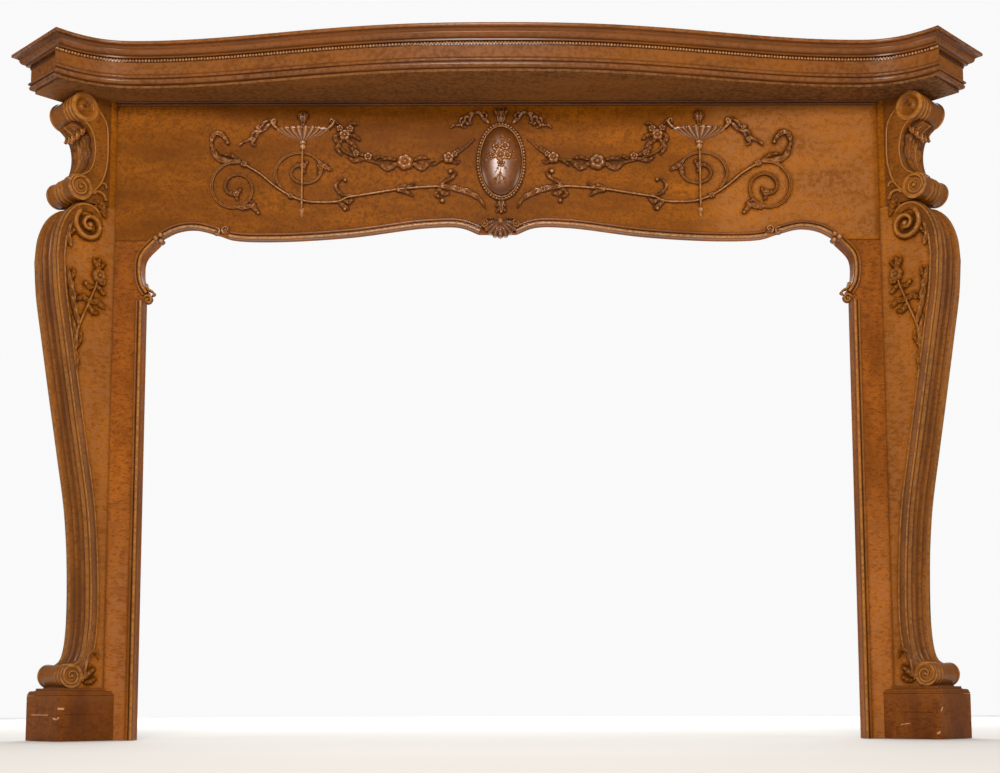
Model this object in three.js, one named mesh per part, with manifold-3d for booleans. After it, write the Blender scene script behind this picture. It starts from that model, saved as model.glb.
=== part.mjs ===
// Fireplace mantel in maple: a serpentine shelf on two canted cabriole legs, with a carved frieze.
// Millimetres. X runs along the wall, -Y is the room side, +Z is up.
// The boards' front plane is y = 0 while the pieces are made; the group then moves the whole so that
// its origin is the middle of its footprint, on the floor.

import * as THREE from 'three';
import { mergeVertices } from 'three/addons/utils/BufferGeometryUtils.js';
import Module from 'manifold-3d';

const wasm = await Module();
wasm.setup();

// Joinery
const GLUE_LINE = 0.3;
const BOARD_THICKNESS = 38;
const FRIEZE_THICKNESS = 14;

// Opening and boards
const OPENING_HALF_WIDTH = 790;
const JAMB_WIDTH = 66.6;
const JAMB_HEIGHT = 1108;
const SOFFIT_HEIGHT = 1429;
const EDGE_MOULDING_WIDTH = 17;
const EDGE_MOULDING_RISE = 8;
const FRIEZE_BEAD = 9;

// Opening edge, from the jamb up to the middle
const EAR_DROP = 134;
const EAR_HOLLOW = 5;
const KNOT_INSET = 30;
const ARCH_SPAN = 138;
const ARCH_RISE = 27;
const SWEEP_DIP = 4;
const SWEEP_RISE = 38;
const SHELL_HALF_WIDTH = 42;
const SHELL_DEPTH = 41;
const SHELL_RISE = 16;

// Legs
const LEG_WIDTH = 98;
const PANEL_RECESS = 4;
const BAND_THICKNESS = 20;
const BAND_FLUTE = 6;
const KNEE_REACH = 143;
const ANKLE_REACH = 40;
const KNEE_DROP = 133;
const ANKLE_RISE = 190;
const LEG_HEAD_DROP = 247;
const PILASTER_REACH = 14;
const HEAD_VOLUTE_RADIUS = 33;
const FOOT_ROLL_RADIUS = 26;
const FOOT_ROLL_REACH = 77;
const ROLL_OVERHANG = 2;

// Corbels
const UPPER_ROLL_RADIUS = 32.7;
const UPPER_ROLL_REACH = 82;
const LOWER_ROLL_RADIUS = 29;
const LOWER_ROLL_REACH = 88;
const STRAP_BACK_REACH = 20;
const STRAP_HOLLOW_REACH = 58;

// Plinths
const PLINTH_HEIGHT = 96;
const PLINTH_REACH = 117.4;
const PLINTH_MARGIN = 17;
const CAP_HEIGHT = 15.5;

// Shelf, in plan
const SHELF_BOW = 207;
const SHELF_HOLLOW = 118.5;
const HOLLOW_OFFSET = 790;
const SHELF_CORNER_X = 944.4;
const SHELF_CORNER_Y = 189.1;
const SHELF_END_WIDTH = 199.2;

// Shelf, in height
const CROWN_HEIGHT = 29;
const FASCIA_HEIGHT = 35;
const BED_HEIGHT = 20.7;
const SOFFIT_THICKNESS = 6;
const PEARL_HEIGHT = 7;
const CROWN_INSET = 26;
const FASCIA_INSET = 32;
const BED_INSET = 27.5;
const SOFFIT_INSET = 39.5;

// Medallion
const MEDALLION_HALF_WIDTH = 49;
const MEDALLION_RISE = 14;
const MEDALLION_PEARLS = 40;
const PEARL_RING_WIDTH = 6;

// Carved relief on the frieze
const CARVING_REACH = 648;
const RELIEF = 7;
const STEM_WIDTH = 6;
const TORCH_X = 442;
const BOWL_HALF_WIDTH = 62;
const BOWL_DEPTH = 27;

// Worked out from the sizes above
const CANT = Math.PI / 4;
const COS = Math.cos(CANT);
const SIN = Math.sin(CANT);
const SEAM_X = OPENING_HALF_WIDTH + JAMB_WIDTH;
const CAP_TOP = PLINTH_HEIGHT + GLUE_LINE + CAP_HEIGHT;
const BED_BOTTOM = SOFFIT_HEIGHT + SOFFIT_THICKNESS + GLUE_LINE;
const FASCIA_BOTTOM = BED_BOTTOM + BED_HEIGHT + GLUE_LINE;
const CROWN_BOTTOM = FASCIA_BOTTOM + FASCIA_HEIGHT + GLUE_LINE;
const MANTEL_HEIGHT = CROWN_BOTTOM + CROWN_HEIGHT;
const LEG_HEAD = SOFFIT_HEIGHT - LEG_HEAD_DROP;
const SHELL_TOP = JAMB_HEIGHT + SHELL_RISE + SHELL_DEPTH * 0.68;
const FRIEZE_CLEAR = SOFFIT_HEIGHT - SHELL_TOP;
const MEDALLION_HEIGHT = SHELL_TOP + FRIEZE_CLEAR * 0.495;
const MEDALLION_HALF_HEIGHT = FRIEZE_CLEAR * 0.303;
const FAR = 400;

const FINISHES = {
  shelf: new THREE.MeshStandardMaterial({ color: 0x9a5a1e, roughness: 0.35, metalness: 0 }),
  panel: new THREE.MeshStandardMaterial({ color: 0xa5641e, roughness: 0.4, metalness: 0 }),
  jamb: new THREE.MeshStandardMaterial({ color: 0xa8602f, roughness: 0.4, metalness: 0 }),
  carving: new THREE.MeshStandardMaterial({ color: 0x8f5220, roughness: 0.38, metalness: 0 }),
  soffit: new THREE.MeshStandardMaterial({ color: 0x5a3614, roughness: 0.6, metalness: 0 }),
};

// Solids

/** A closed solid from rings of equal length, capped by triangulating the flat end outlines. */
function loft(rings, firstOutline, lastOutline) {
  const count = rings[0].length;
  const positions = rings.flat().flatMap((p) => [p.x, p.y, p.z]);
  const index = [];
  for (let r = 0; r < rings.length - 1; r += 1) {
    for (let i = 0; i < count; i += 1) {
      const a = r * count + i;
      const b = r * count + ((i + 1) % count);
      index.push(a, b, b + count, a, b + count, a + count);
    }
  }
  const last = (rings.length - 1) * count;
  for (const [a, b, c] of capTriangles(firstOutline)) {
    index.push(a, c, b);
  }
  for (const [a, b, c] of capTriangles(lastOutline)) {
    index.push(last + a, last + b, last + c);
  }
  return outward(positions, index);
}

/** Triangles of a flat outline, turning the same way as its points run. */
function capTriangles(outline) {
  const triangles = THREE.ShapeUtils.triangulateShape(outline, []);
  return THREE.ShapeUtils.area(outline) < 0 ? triangles.map(([a, b, c]) => [a, c, b]) : triangles;
}

/** Faces turned so that the volume is positive. */
function outward(positions, index) {
  let volume = 0;
  const at = (i) => new THREE.Vector3(positions[3 * i], positions[3 * i + 1], positions[3 * i + 2]);
  for (let i = 0; i < index.length; i += 3) {
    volume += at(index[i]).dot(at(index[i + 1]).cross(at(index[i + 2])));
  }
  const turned = [...index];
  if (volume < 0) {
    for (let i = 0; i < turned.length; i += 3) {
      [turned[i + 1], turned[i + 2]] = [turned[i + 2], turned[i + 1]];
    }
  }
  const geometry = new THREE.BufferGeometry();
  geometry.setAttribute('position', new THREE.Float32BufferAttribute(positions, 3));
  geometry.setIndex(turned);
  return geometry;
}

function toSolid(geometry) {
  const bare = geometry.clone();
  bare.deleteAttribute('normal');
  bare.deleteAttribute('uv');
  const merged = mergeVertices(bare, 1e-4);
  return new wasm.Manifold(
    new wasm.Mesh({
      numProp: 3,
      vertProperties: new Float32Array(merged.attributes.position.array),
      triVerts: new Uint32Array(merged.index.array),
    }),
  );
}

function toGeometry(solid) {
  const mesh = solid.getMesh();
  const geometry = new THREE.BufferGeometry();
  geometry.setAttribute('position', new THREE.BufferAttribute(mesh.vertProperties, 3));
  geometry.setIndex(new THREE.BufferAttribute(mesh.triVerts, 1));
  return geometry;
}

function joined(geometries) {
  return geometries.map(toSolid).reduce((whole, piece) => whole.add(piece));
}

/** The main body of a solid, without slivers that a cut leaves. */
function largest(solid) {
  return solid.decompose().reduce((most, body) => (body.volume() > most.volume() ? body : most));
}

/** A box between two corners. */
function block(low, high) {
  const box = new THREE.BoxGeometry(high[0] - low[0], high[1] - low[1], high[2] - low[2]);
  box.translate((low[0] + high[0]) / 2, (low[1] + high[1]) / 2, (low[2] + high[2]) / 2);
  return box;
}

/** The mirror image across the middle of the mantel. */
function mirrored(geometry) {
  const copy = geometry.clone();
  const positions = Array.from(copy.attributes.position.array).map((v, i) => (i % 3 ? v : -v));
  return outward(positions, Array.from(copy.index.array));
}

// Curves

function smooth(points, steps) {
  const curve = new THREE.CatmullRomCurve3(points.map(([a, b]) => new THREE.Vector3(a, b, 0)));
  return curve.getSpacedPoints(steps).map((p) => [p.x, p.y]);
}

/** Points of a spiral whose radius shrinks evenly with its angle, flattened by squash. */
function spiral([cx, cz], startRadius, endRadius, startAngle, endAngle, steps, squash = 1) {
  const points = [];
  for (let i = 0; i <= steps; i += 1) {
    const share = i / steps;
    const angle = THREE.MathUtils.degToRad(startAngle + share * (endAngle - startAngle));
    const radius = startRadius + share * (endRadius - startRadius);
    points.push([cx + radius * Math.cos(angle), cz + squash * radius * Math.sin(angle)]);
  }
  return points;
}

/** Unit normals along a flat polyline, mitred at its points. */
function normalsOf(points) {
  return points.map((p, i) => {
    const before = points[Math.max(i - 1, 0)];
    const after = points[Math.min(i + 1, points.length - 1)];
    const length = Math.hypot(after[0] - before[0], after[1] - before[1]) || 1;
    return [-(after[1] - before[1]) / length, (after[0] - before[0]) / length];
  });
}

// The shelf's plan outline, stepped in by an inset

/** Front edge of the shelf: bowed at the middle, hollow before each end, flared to its corner. */
function shelfFront(x) {
  const reach = Math.abs(x);
  if (reach <= HOLLOW_OFFSET) {
    const share = (reach / HOLLOW_OFFSET) ** 1.25;
    return -SHELF_BOW + ((SHELF_BOW - SHELF_HOLLOW) * (1 - Math.cos(Math.PI * share))) / 2;
  }
  const share = (reach - HOLLOW_OFFSET) / (SHELF_CORNER_X - HOLLOW_OFFSET);
  return -SHELF_HOLLOW - (SHELF_CORNER_Y - SHELF_HOLLOW) * share ** 2.4;
}

/** Left half of the outline, from the wall round to just before the middle. */
function shelfHalf() {
  const end = SHELF_END_WIDTH;
  const tip = [-SHELF_CORNER_X - end * COS, -SHELF_CORNER_Y + end * SIN];
  const back = BOARD_THICKNESS + FAR - tip[1];
  const points = [[tip[0] + back, tip[1] + back], tip];
  const flareSteps = 3;
  const bowSteps = 8;
  for (let i = 0; i < flareSteps; i += 1) {
    const x = -SHELF_CORNER_X + ((SHELF_CORNER_X - HOLLOW_OFFSET) * i) / flareSteps;
    points.push([x, shelfFront(x)]);
  }
  for (let i = 0; i < bowSteps; i += 1) {
    const x = -HOLLOW_OFFSET + (HOLLOW_OFFSET * i) / bowSteps;
    points.push([x, shelfFront(x)]);
  }
  return points;
}

/** Each edge moved inwards by the inset and joined to the next where the two moved edges cross. */
function insetLine(points, inset) {
  const moved = [];
  for (let i = 1; i < points.length - 1; i += 1) {
    const [ax, ay] = points[i - 1];
    const [bx, by] = points[i];
    const [cx, cy] = points[i + 1];
    const first = Math.hypot(bx - ax, by - ay);
    const second = Math.hypot(cx - bx, cy - by);
    const n1 = [-(by - ay) / first, (bx - ax) / first];
    const n2 = [-(cy - by) / second, (cx - bx) / second];
    const scale = inset / (1 + n1[0] * n2[0] + n1[1] * n2[1]);
    moved.push([bx + (n1[0] + n2[0]) * scale, by + (n1[1] + n2[1]) * scale]);
  }
  return moved;
}

/** Whole front line of the shelf from wall to wall, stepped in and ended on the wall plane. */
function shelfLine(inset) {
  const half = shelfHalf();
  const middle = [0, shelfFront(0)];
  const whole = [...half, middle, ...half.map(([x, y]) => [-x, y]).reverse()];
  const line = insetLine(whole, inset);
  const [tipX, tipY] = line[0];
  const back = BOARD_THICKNESS - tipY;
  return [[tipX + back, BOARD_THICKNESS], ...line, [-tipX - back, BOARD_THICKNESS]];
}

/** A solid filling the shelf's plan, with an edge profile of inset and height pairs. */
function shelfSlab(profile) {
  const outlines = profile.map(([inset]) => shelfLine(inset).map(([x, y]) => new THREE.Vector2(x, y)));
  const rings = outlines.map((outline, level) =>
    outline.map((p) => new THREE.Vector3(p.x, p.y, profile[level][1])),
  );
  return loft(rings, outlines[0], outlines.at(-1));
}

/** Crown of the top board: fillet, small cove and a leaning round over the pearls. */
function mantelshelf() {
  const low = CROWN_BOTTOM;
  const high = MANTEL_HEIGHT;
  return shelfSlab([
    [CROWN_INSET, low],
    [CROWN_INSET * 0.7, low + CROWN_HEIGHT * 0.2],
    [CROWN_INSET * 0.42, low + CROWN_HEIGHT * 0.56],
    [CROWN_INSET * 0.1, low + CROWN_HEIGHT * 0.72],
    [0, low + CROWN_HEIGHT * 0.78],
    [0, high],
  ]);
}

function fascia() {
  return shelfSlab([
    [FASCIA_INSET + 1, FASCIA_BOTTOM],
    [FASCIA_INSET, FASCIA_BOTTOM + FASCIA_HEIGHT * 0.3],
    [FASCIA_INSET, FASCIA_BOTTOM + FASCIA_HEIGHT],
  ]);
}

/** Two reeds, the upper one standing further out. */
function bedMoulding() {
  const at = (share) => BED_BOTTOM + BED_HEIGHT * share;
  return shelfSlab([
    [SOFFIT_INSET - 3, at(0)],
    [BED_INSET + 2, at(0.2)],
    [BED_INSET + 4, at(0.5)],
    [BED_INSET, at(0.66)],
    [BED_INSET, at(0.9)],
    [FASCIA_INSET, at(1)],
  ]);
}

function soffitBoard() {
  return shelfSlab([
    [SOFFIT_INSET, SOFFIT_HEIGHT],
    [SOFFIT_INSET, SOFFIT_HEIGHT + SOFFIT_THICKNESS],
  ]);
}

/** Half-round strip let in under the crown, on which the pearls are carved. */
function pearlStrip() {
  const back = FASCIA_INSET - GLUE_LINE;
  const low = CROWN_BOTTOM - GLUE_LINE - PEARL_HEIGHT;
  const front = [
    [CROWN_INSET + 3, low],
    [CROWN_INSET, low + PEARL_HEIGHT / 2],
    [CROWN_INSET + 3, low + PEARL_HEIGHT],
  ];
  const strip = shelfSlab(front);
  const core = shelfSlab([[back, low - 1], [back, low + PEARL_HEIGHT + 1]]);
  return toGeometry(toSolid(strip).subtract(toSolid(core)));
}

// The opening's edge, left half, as x and z pairs

const EAR_BOTTOM = JAMB_HEIGHT - EAR_DROP;
const KNOT_X = -OPENING_HALF_WIDTH + KNOT_INSET;
const ARCH_END_X = KNOT_X + ARCH_SPAN;

/** Hollow ear at the top of the jamb, up to the knot at the seam. */
function earLine() {
  const edge = -OPENING_HALF_WIDTH;
  return smooth(
    [
      [edge + EDGE_MOULDING_WIDTH * 0.8, EAR_BOTTOM + 14],
      [edge, EAR_BOTTOM + 36],
      [edge - EAR_HOLLOW, JAMB_HEIGHT - 68],
      [edge - EAR_HOLLOW * 0.2, JAMB_HEIGHT - 36],
      [KNOT_X, JAMB_HEIGHT - GLUE_LINE],
    ],
    8,
  );
}

/** Low arch from the knot to the first scroll. */
function archLine() {
  return smooth(
    [
      [KNOT_X, JAMB_HEIGHT],
      [KNOT_X + ARCH_SPAN * 0.3, JAMB_HEIGHT + ARCH_RISE * 0.8],
      [KNOT_X + ARCH_SPAN * 0.6, JAMB_HEIGHT + ARCH_RISE],
      [ARCH_END_X, JAMB_HEIGHT + ARCH_RISE * 0.5],
    ],
    7,
  );
}

/** Long sweep that dips beside the scroll and rises to the shell. */
function sweepLine() {
  const span = -SHELL_HALF_WIDTH - ARCH_END_X;
  return smooth(
    [
      [ARCH_END_X, JAMB_HEIGHT + ARCH_RISE * 0.5],
      [ARCH_END_X + span * 0.05, JAMB_HEIGHT + SWEEP_DIP],
      [ARCH_END_X + span * 0.2, JAMB_HEIGHT],
      [ARCH_END_X + span * 0.5, JAMB_HEIGHT + SWEEP_RISE * 0.25],
      [ARCH_END_X + span * 0.8, JAMB_HEIGHT + SWEEP_RISE * 0.83],
      [ARCH_END_X + span * 0.93, JAMB_HEIGHT + SWEEP_RISE * 0.83],
      [-SHELL_HALF_WIDTH, JAMB_HEIGHT + SHELL_RISE],
    ],
    13,
  );
}

/** A board cut to an outline of x and z pairs. */
function board(outline, thickness) {
  const shape = outline.map(([x, z]) => new THREE.Vector2(x, z));
  const rings = [0, thickness].map((y) => shape.map((p) => new THREE.Vector3(p.x, y, p.y)));
  return loft(rings, shape, shape);
}

function friezePanel() {
  const half = [...archLine(), ...sweepLine().slice(1)];
  const seam = SEAM_X - GLUE_LINE;
  const top = SOFFIT_HEIGHT - GLUE_LINE;
  const left = [[-seam, top], [-seam, JAMB_HEIGHT], ...half];
  return board([...left, ...left.map(([x, z]) => [-x, z]).reverse()], FRIEZE_THICKNESS);
}

function jambPanel() {
  const seam = SEAM_X - GLUE_LINE;
  const inner = [[-OPENING_HALF_WIDTH, 0], [-OPENING_HALF_WIDTH, EAR_BOTTOM], ...earLine()];
  return board([...inner, [-seam, JAMB_HEIGHT - GLUE_LINE], [-seam, 0]], BOARD_THICKNESS);
}

// Relief on the boards

/** A length given in thousandths of the frieze's clear height. */
function size(thousandths) {
  return (thousandths / 1000) * FRIEZE_CLEAR;
}

/** A width given in thousandths of the carving's reach. */
function wide(thousandths) {
  return (thousandths / 1000) * CARVING_REACH;
}

/** A place on the frieze: across in thousandths of the carving's reach, up from the medallion. */
function spot([across, up]) {
  return [wide(across), MEDALLION_HEIGHT + size(up)];
}

/** A ridge laid on the boards along x and z pairs, with its width and rise at each share. */
function ridge(points, widthAt, riseAt, base = GLUE_LINE) {
  const normals = normalsOf(points);
  const flat = [[-0.5, 0], [0, 1], [0.5, 0]];
  const rings = points.map(([x, z], i) => {
    const share = i / (points.length - 1);
    const [nx, nz] = normals[i];
    return flat.map(
      ([across, up]) =>
        new THREE.Vector3(
          x + nx * across * widthAt(share),
          -base - up * riseAt(share),
          z + nz * across * widthAt(share),
        ),
    );
  });
  const outline = flat.map(([a, b]) => new THREE.Vector2(a, b));
  return loft(rings, outline, outline);
}

/** A stem of even width. */
function stem(points, width = STEM_WIDTH, rise = RELIEF * 0.6) {
  return ridge(points, () => width, () => rise);
}

/** A leaf: narrow at its root, full at a third of its length, pointed at its tip. */
function leaf(points, width, rise = RELIEF) {
  const fullness = (share) => 0.25 + 0.75 * Math.sin(Math.PI * Math.min(0.98, 0.15 + share * 0.85));
  return ridge(points, (s) => width * fullness(s), (s) => rise * (0.6 + 0.4 * fullness(s)));
}

/** A bloom: petals round a raised heart. */
function bloom([cx, cz], radius, petals, rise = RELIEF) {
  const rim = Array.from({ length: petals * 2 }, (_, i) => {
    const angle = (Math.PI * i) / petals;
    const reach = i % 2 ? radius * 0.78 : radius;
    return new THREE.Vector2(cx + reach * Math.cos(angle), cz + reach * Math.sin(angle));
  });
  const heart = (p, share) => [cx + (p.x - cx) * share, cz + (p.y - cz) * share];
  const rings = [
    rim.map((p) => new THREE.Vector3(p.x, -GLUE_LINE, p.y)),
    rim.map((p) => new THREE.Vector3(heart(p, 0.55)[0], -GLUE_LINE - rise, heart(p, 0.55)[1])),
  ];
  return loft(rings, rim, rim);
}

/** A turned body lying on the boards: heights and half widths up the frieze. */
function turning(x, stations, depthShare = 0.8) {
  const flat = [[-1, 0], [-0.6, 1], [0.6, 1], [1, 0]];
  const rings = stations.map(([z, half]) =>
    flat.map(
      ([across, up]) =>
        new THREE.Vector3(x + across * half, -GLUE_LINE - up * Math.min(half * depthShare, RELIEF * 1.6), z),
    ),
  );
  const outline = flat.map(([a, b]) => new THREE.Vector2(a, b));
  return loft(rings, outline, outline);
}

/** A moulding along the opening's edge, its inner side flush with the boards' edge. */
function edgeMoulding(points) {
  const normals = normalsOf(points);
  const width = EDGE_MOULDING_WIDTH;
  const rise = EDGE_MOULDING_RISE;
  const flat = [[0, 0], [0, 0.5], [0.3, 1], [0.6, 0.65], [1, 0.6], [1, 0]];
  const rings = points.map(([x, z], i) =>
    flat.map(
      ([across, up]) =>
        new THREE.Vector3(
          x + normals[i][0] * across * width,
          -GLUE_LINE - up * rise,
          z + normals[i][1] * across * width,
        ),
    ),
  );
  const outline = flat.map(([a, b]) => new THREE.Vector2(a, b));
  return loft(rings, outline, outline);
}

/** A small scroll knob where two stretches of moulding meet. */
function scrollKnob([x, z], radius) {
  const sides = 7;
  const rim = Array.from({ length: sides }, (_, i) => {
    const angle = (2 * Math.PI * i) / sides;
    return new THREE.Vector2(x + radius * Math.cos(angle), z + radius * Math.sin(angle));
  });
  const ring = (y, share) =>
    rim.map((p) => new THREE.Vector3(x + (p.x - x) * share, y, z + (p.y - z) * share));
  const base = -GLUE_LINE;
  return loft(
    [ring(base, 1), ring(base - EDGE_MOULDING_RISE * 0.8, 1), ring(base - EDGE_MOULDING_RISE * 1.3, 0.5)],
    rim,
    rim,
  );
}

function jambMoulding() {
  const inner = -OPENING_HALF_WIDTH;
  const straight = edgeMoulding([[inner, 0], [inner, EAR_BOTTOM + 4]]);
  const ear = edgeMoulding(earLine().slice(0, -1));
  const knobs = [
    scrollKnob([inner + EDGE_MOULDING_WIDTH * 0.35, EAR_BOTTOM + 2], EDGE_MOULDING_WIDTH * 0.6),
    scrollKnob([inner + EDGE_MOULDING_WIDTH * 0.6, EAR_BOTTOM + 20], EDGE_MOULDING_WIDTH * 0.5),
  ];
  return toGeometry(joined([straight, ear, ...knobs]));
}

function archMoulding() {
  const line = archLine();
  const knobRadius = EDGE_MOULDING_WIDTH * 0.45;
  const knot = scrollKnob([line[0][0] + 2, line[0][1] + knobRadius + GLUE_LINE], knobRadius);
  const end = line.at(-2).map((value, axis) => (value + line.at(-1)[axis]) / 2);
  const arch = edgeMoulding([...line.slice(0, -1), end]);
  const curl = scrollKnob([end[0] + knobRadius * 0.3, end[1] + knobRadius * 0.8], knobRadius);
  return toGeometry(joined([knot, arch, curl]));
}

function sweepMoulding() {
  const line = sweepLine();
  const knobRadius = EDGE_MOULDING_WIDTH * 0.5;
  const start = line[0].map((value, axis) => value + (line[1][axis] - value) * 0.35);
  const curl = scrollKnob([start[0], start[1] + knobRadius * 1.1], knobRadius);
  return toGeometry(joined([edgeMoulding([start, ...line.slice(1)]), curl]));
}

/** Fluted shell over the middle of the opening. */
function shell() {
  const ribs = 7;
  const top = SHELL_TOP;
  const outline = [];
  for (let i = 0; i <= ribs * 2; i += 1) {
    const angle = Math.PI * (1 + i / (ribs * 2));
    const reach = i % 2 ? 1 : 0.88;
    outline.push(
      new THREE.Vector2(
        (SHELL_HALF_WIDTH - 1.2) * reach * Math.cos(angle),
        top + SHELL_DEPTH * reach * Math.sin(angle),
      ),
    );
  }
  outline.push(new THREE.Vector2(SHELL_HALF_WIDTH * 0.4, top + 5), new THREE.Vector2(0, top + 7));
  outline.push(new THREE.Vector2(-SHELL_HALF_WIDTH * 0.4, top + 5));
  const towards = (p, share) => [p.x * share, top + (p.y - top) * share];
  const ring = (y, share) =>
    outline.map((p) => new THREE.Vector3(towards(p, share)[0], y, towards(p, share)[1]));
  const rise = EDGE_MOULDING_RISE * 1.9;
  const base = -EDGE_MOULDING_RISE - 2 * GLUE_LINE;
  const layers = [ring(base, 1), ring(base - rise, 0.86), ring(base - rise * 0.6, 0.3)];
  const upper = loft(layers, outline, outline);
  const half = SHELL_HALF_WIDTH - EDGE_MOULDING_WIDTH - 2;
  const root = block([-half, base - 1, top - SHELL_DEPTH * 0.8], [half, -GLUE_LINE, top]);
  const notch = block([-half, -GLUE_LINE - 50, -1], [half, 50, 0]);
  return toGeometry(toSolid(upper).add(toSolid(root)).subtract(toSolid(notch)));
}

// Medallion

function oval(halfWidth, halfHeight, sides) {
  return Array.from({ length: sides }, (_, i) => {
    const angle = (2 * Math.PI * i) / sides;
    return new THREE.Vector2(halfWidth * Math.cos(angle), MEDALLION_HEIGHT + halfHeight * Math.sin(angle));
  });
}

/** Domed oval with a bouquet carved on it. */
function medallionBoss() {
  const sides = 20;
  const rings = [[1, 0], [1, 0.25], [0.84, 0.66], [0.5, 0.94]].map(([share, up]) =>
    oval(MEDALLION_HALF_WIDTH * share, MEDALLION_HALF_HEIGHT * share, sides).map(
      (p) => new THREE.Vector3(p.x, -GLUE_LINE - up * MEDALLION_RISE, p.y),
    ),
  );
  const rim = oval(MEDALLION_HALF_WIDTH, MEDALLION_HALF_HEIGHT, sides);
  const high = MEDALLION_RISE + 4;
  const sprays = [
    bloom(spot([0, 22]), size(61), 5, high),
    bloom(spot([-14, 79]), size(43), 5, high - 1),
    bloom(spot([15, 87]), size(43), 5, high - 1),
    leaf([[0, 94], [5, 173], [0, 217]].map(spot), size(51), high - 4),
    leaf([[-15, 0], [-43, -14], [-59, -7]].map(spot), size(36), high - 5),
    leaf([[15, 0], [43, 0], [59, -22]].map(spot), size(36), high - 5),
    leaf([[0, -14], [-3, -123], [-5, -209]].map(spot), size(54), high - 4),
    leaf([[-9, -7], [-25, -144]].map(spot), size(36), high - 5),
    leaf([[9, -7], [25, -137]].map(spot), size(36), high - 5),
  ];
  return toGeometry(joined([loft(rings, rim, rim), ...sprays]));
}

/** Ring of pearls round the boss, fused as one band with a pearl at every second point. */
function medallionPearls() {
  const sides = MEDALLION_PEARLS;
  const inner = [GLUE_LINE, GLUE_LINE];
  const outer = [GLUE_LINE + PEARL_RING_WIDTH, GLUE_LINE + PEARL_RING_WIDTH];
  const at = ([dx, dz], i) => {
    const angle = (2 * Math.PI * i) / sides;
    return [
      (MEDALLION_HALF_WIDTH + dx) * Math.cos(angle),
      MEDALLION_HEIGHT + (MEDALLION_HALF_HEIGHT + dz) * Math.sin(angle),
    ];
  };
  const positions = [];
  const index = [];
  for (let i = 0; i < sides; i += 1) {
    const crest = i % 2 ? 0.55 : 1;
    const [ix, iz] = at(inner, i);
    const [ox, oz] = at(outer, i);
    positions.push(ix, -GLUE_LINE, iz, (ix + ox) / 2, -GLUE_LINE - RELIEF * crest, (iz + oz) / 2);
    positions.push(ox, -GLUE_LINE, oz);
    const a = 3 * i;
    const b = 3 * ((i + 1) % sides);
    for (let k = 0; k < 3; k += 1) {
      const next = (k + 1) % 3;
      index.push(a + k, a + next, b + next, a + k, b + next, b + k);
    }
  }
  return outward(positions, index);
}

const RING_TOP = MEDALLION_HEIGHT + MEDALLION_HALF_HEIGHT + PEARL_RING_WIDTH + 3 * GLUE_LINE;
const CREST_ROOM = SOFFIT_HEIGHT - GLUE_LINE - FRIEZE_BEAD - RING_TOP;
const RING_BOTTOM = MEDALLION_HEIGHT - MEDALLION_HALF_HEIGHT - PEARL_RING_WIDTH - 3 * GLUE_LINE;

/** Height over the medallion's ring, in thousandths of the room under the bead. */
function over(thousandths) {
  return RING_TOP + (thousandths / 1000) * CREST_ROOM;
}

/** Bud and crown leaves over the medallion. */
function crest() {
  const stations = [[0, 22], [201, 43], [452, 32], [653, 40]];
  const bud = turning(0, stations.map(([up, half]) => [over(up), size(half)]));
  const crown = [-1, 0, 1].map((side) =>
    leaf(
      [[18, 352], [36, 703], [58, 829]].map(([out, up]) => [side * size(out), over(up)]),
      size(40),
    ),
  );
  return toGeometry(joined([bud, ...crown]));
}

/** Husk of leaves hanging under the medallion. */
function pendant() {
  const stations = [[0, 29], [29, 43], [101, 14]];
  const husk = turning(0, stations.map(([down, half]) => [RING_BOTTOM - size(down), size(half)]));
  const tips = [-1, 1].map((side) =>
    leaf(
      [[11, 29], [32, 65], [43, 97]].map(([out, down]) => [side * size(out), RING_BOTTOM - size(down)]),
      size(29),
    ),
  );
  return toGeometry(joined([husk, ...tips]));
}

/** Ribbon that flutters out from the crest, in loops that shrink. */
function ribbon() {
  const along = (places) => places.map(([out, up]) => [-size(out), over(up)]);
  const loops = [
    [[[69, 0], [123, 201], [180, 603], [245, 452], [281, 0]], 6, 36],
    [[[238, 452], [224, 50], [296, -100], [339, -452], [397, -402]], 5, 29],
    [[[274, 151], [325, 151], [354, -201], [318, -402]], 4, 25],
  ];
  const bands = loops.map(([places, steps, width]) => stem(smooth(along(places), steps), size(width)));
  return toGeometry(joined(bands));
}

/** Garland from the torch's bowl to the medallion, with blooms and leaves on its cord. */
function garland() {
  const start = [-TORCH_X + BOWL_HALF_WIDTH + size(43), MEDALLION_HEIGHT + size(245)];
  const end = [-MEDALLION_HALF_WIDTH - PEARL_RING_WIDTH + 3, MEDALLION_HEIGHT + size(209)];
  const hung = ([share, up]) => [start[0] + (end[0] - start[0]) * share, MEDALLION_HEIGHT + size(up)];
  const knots = [[0.095, 119], [0.21, 18], [0.37, -18], [0.61, -4], [0.785, 40]].map(hung);
  const parts = [
    stem(smooth([start, ...knots, end], 8)),
    bloom(hung([0.5, -7]), size(69), 5, RELIEF * 1.5),
    bloom(hung([0.81, 47]), size(51), 5, RELIEF * 1.3),
    bloom(hung([0.25, 18]), size(40), 5),
    bloom([start[0] + size(22), start[1] - size(22)], size(54), 5, RELIEF * 1.2),
    leaf([[0.445, -7], [0.385, -40], [0.32, -29]].map(hung), size(54)),
    leaf([[0.555, -7], [0.61, -40], [0.67, -11]].map(hung), size(54)),
    leaf([[0.05, 162], [0.095, 105], [0.07, 40]].map(hung), size(51)),
    leaf([[0.85, 61], [0.89, 105], [0.94, 134]].map(hung), size(32)),
  ];
  return toGeometry(joined(parts));
}

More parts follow.
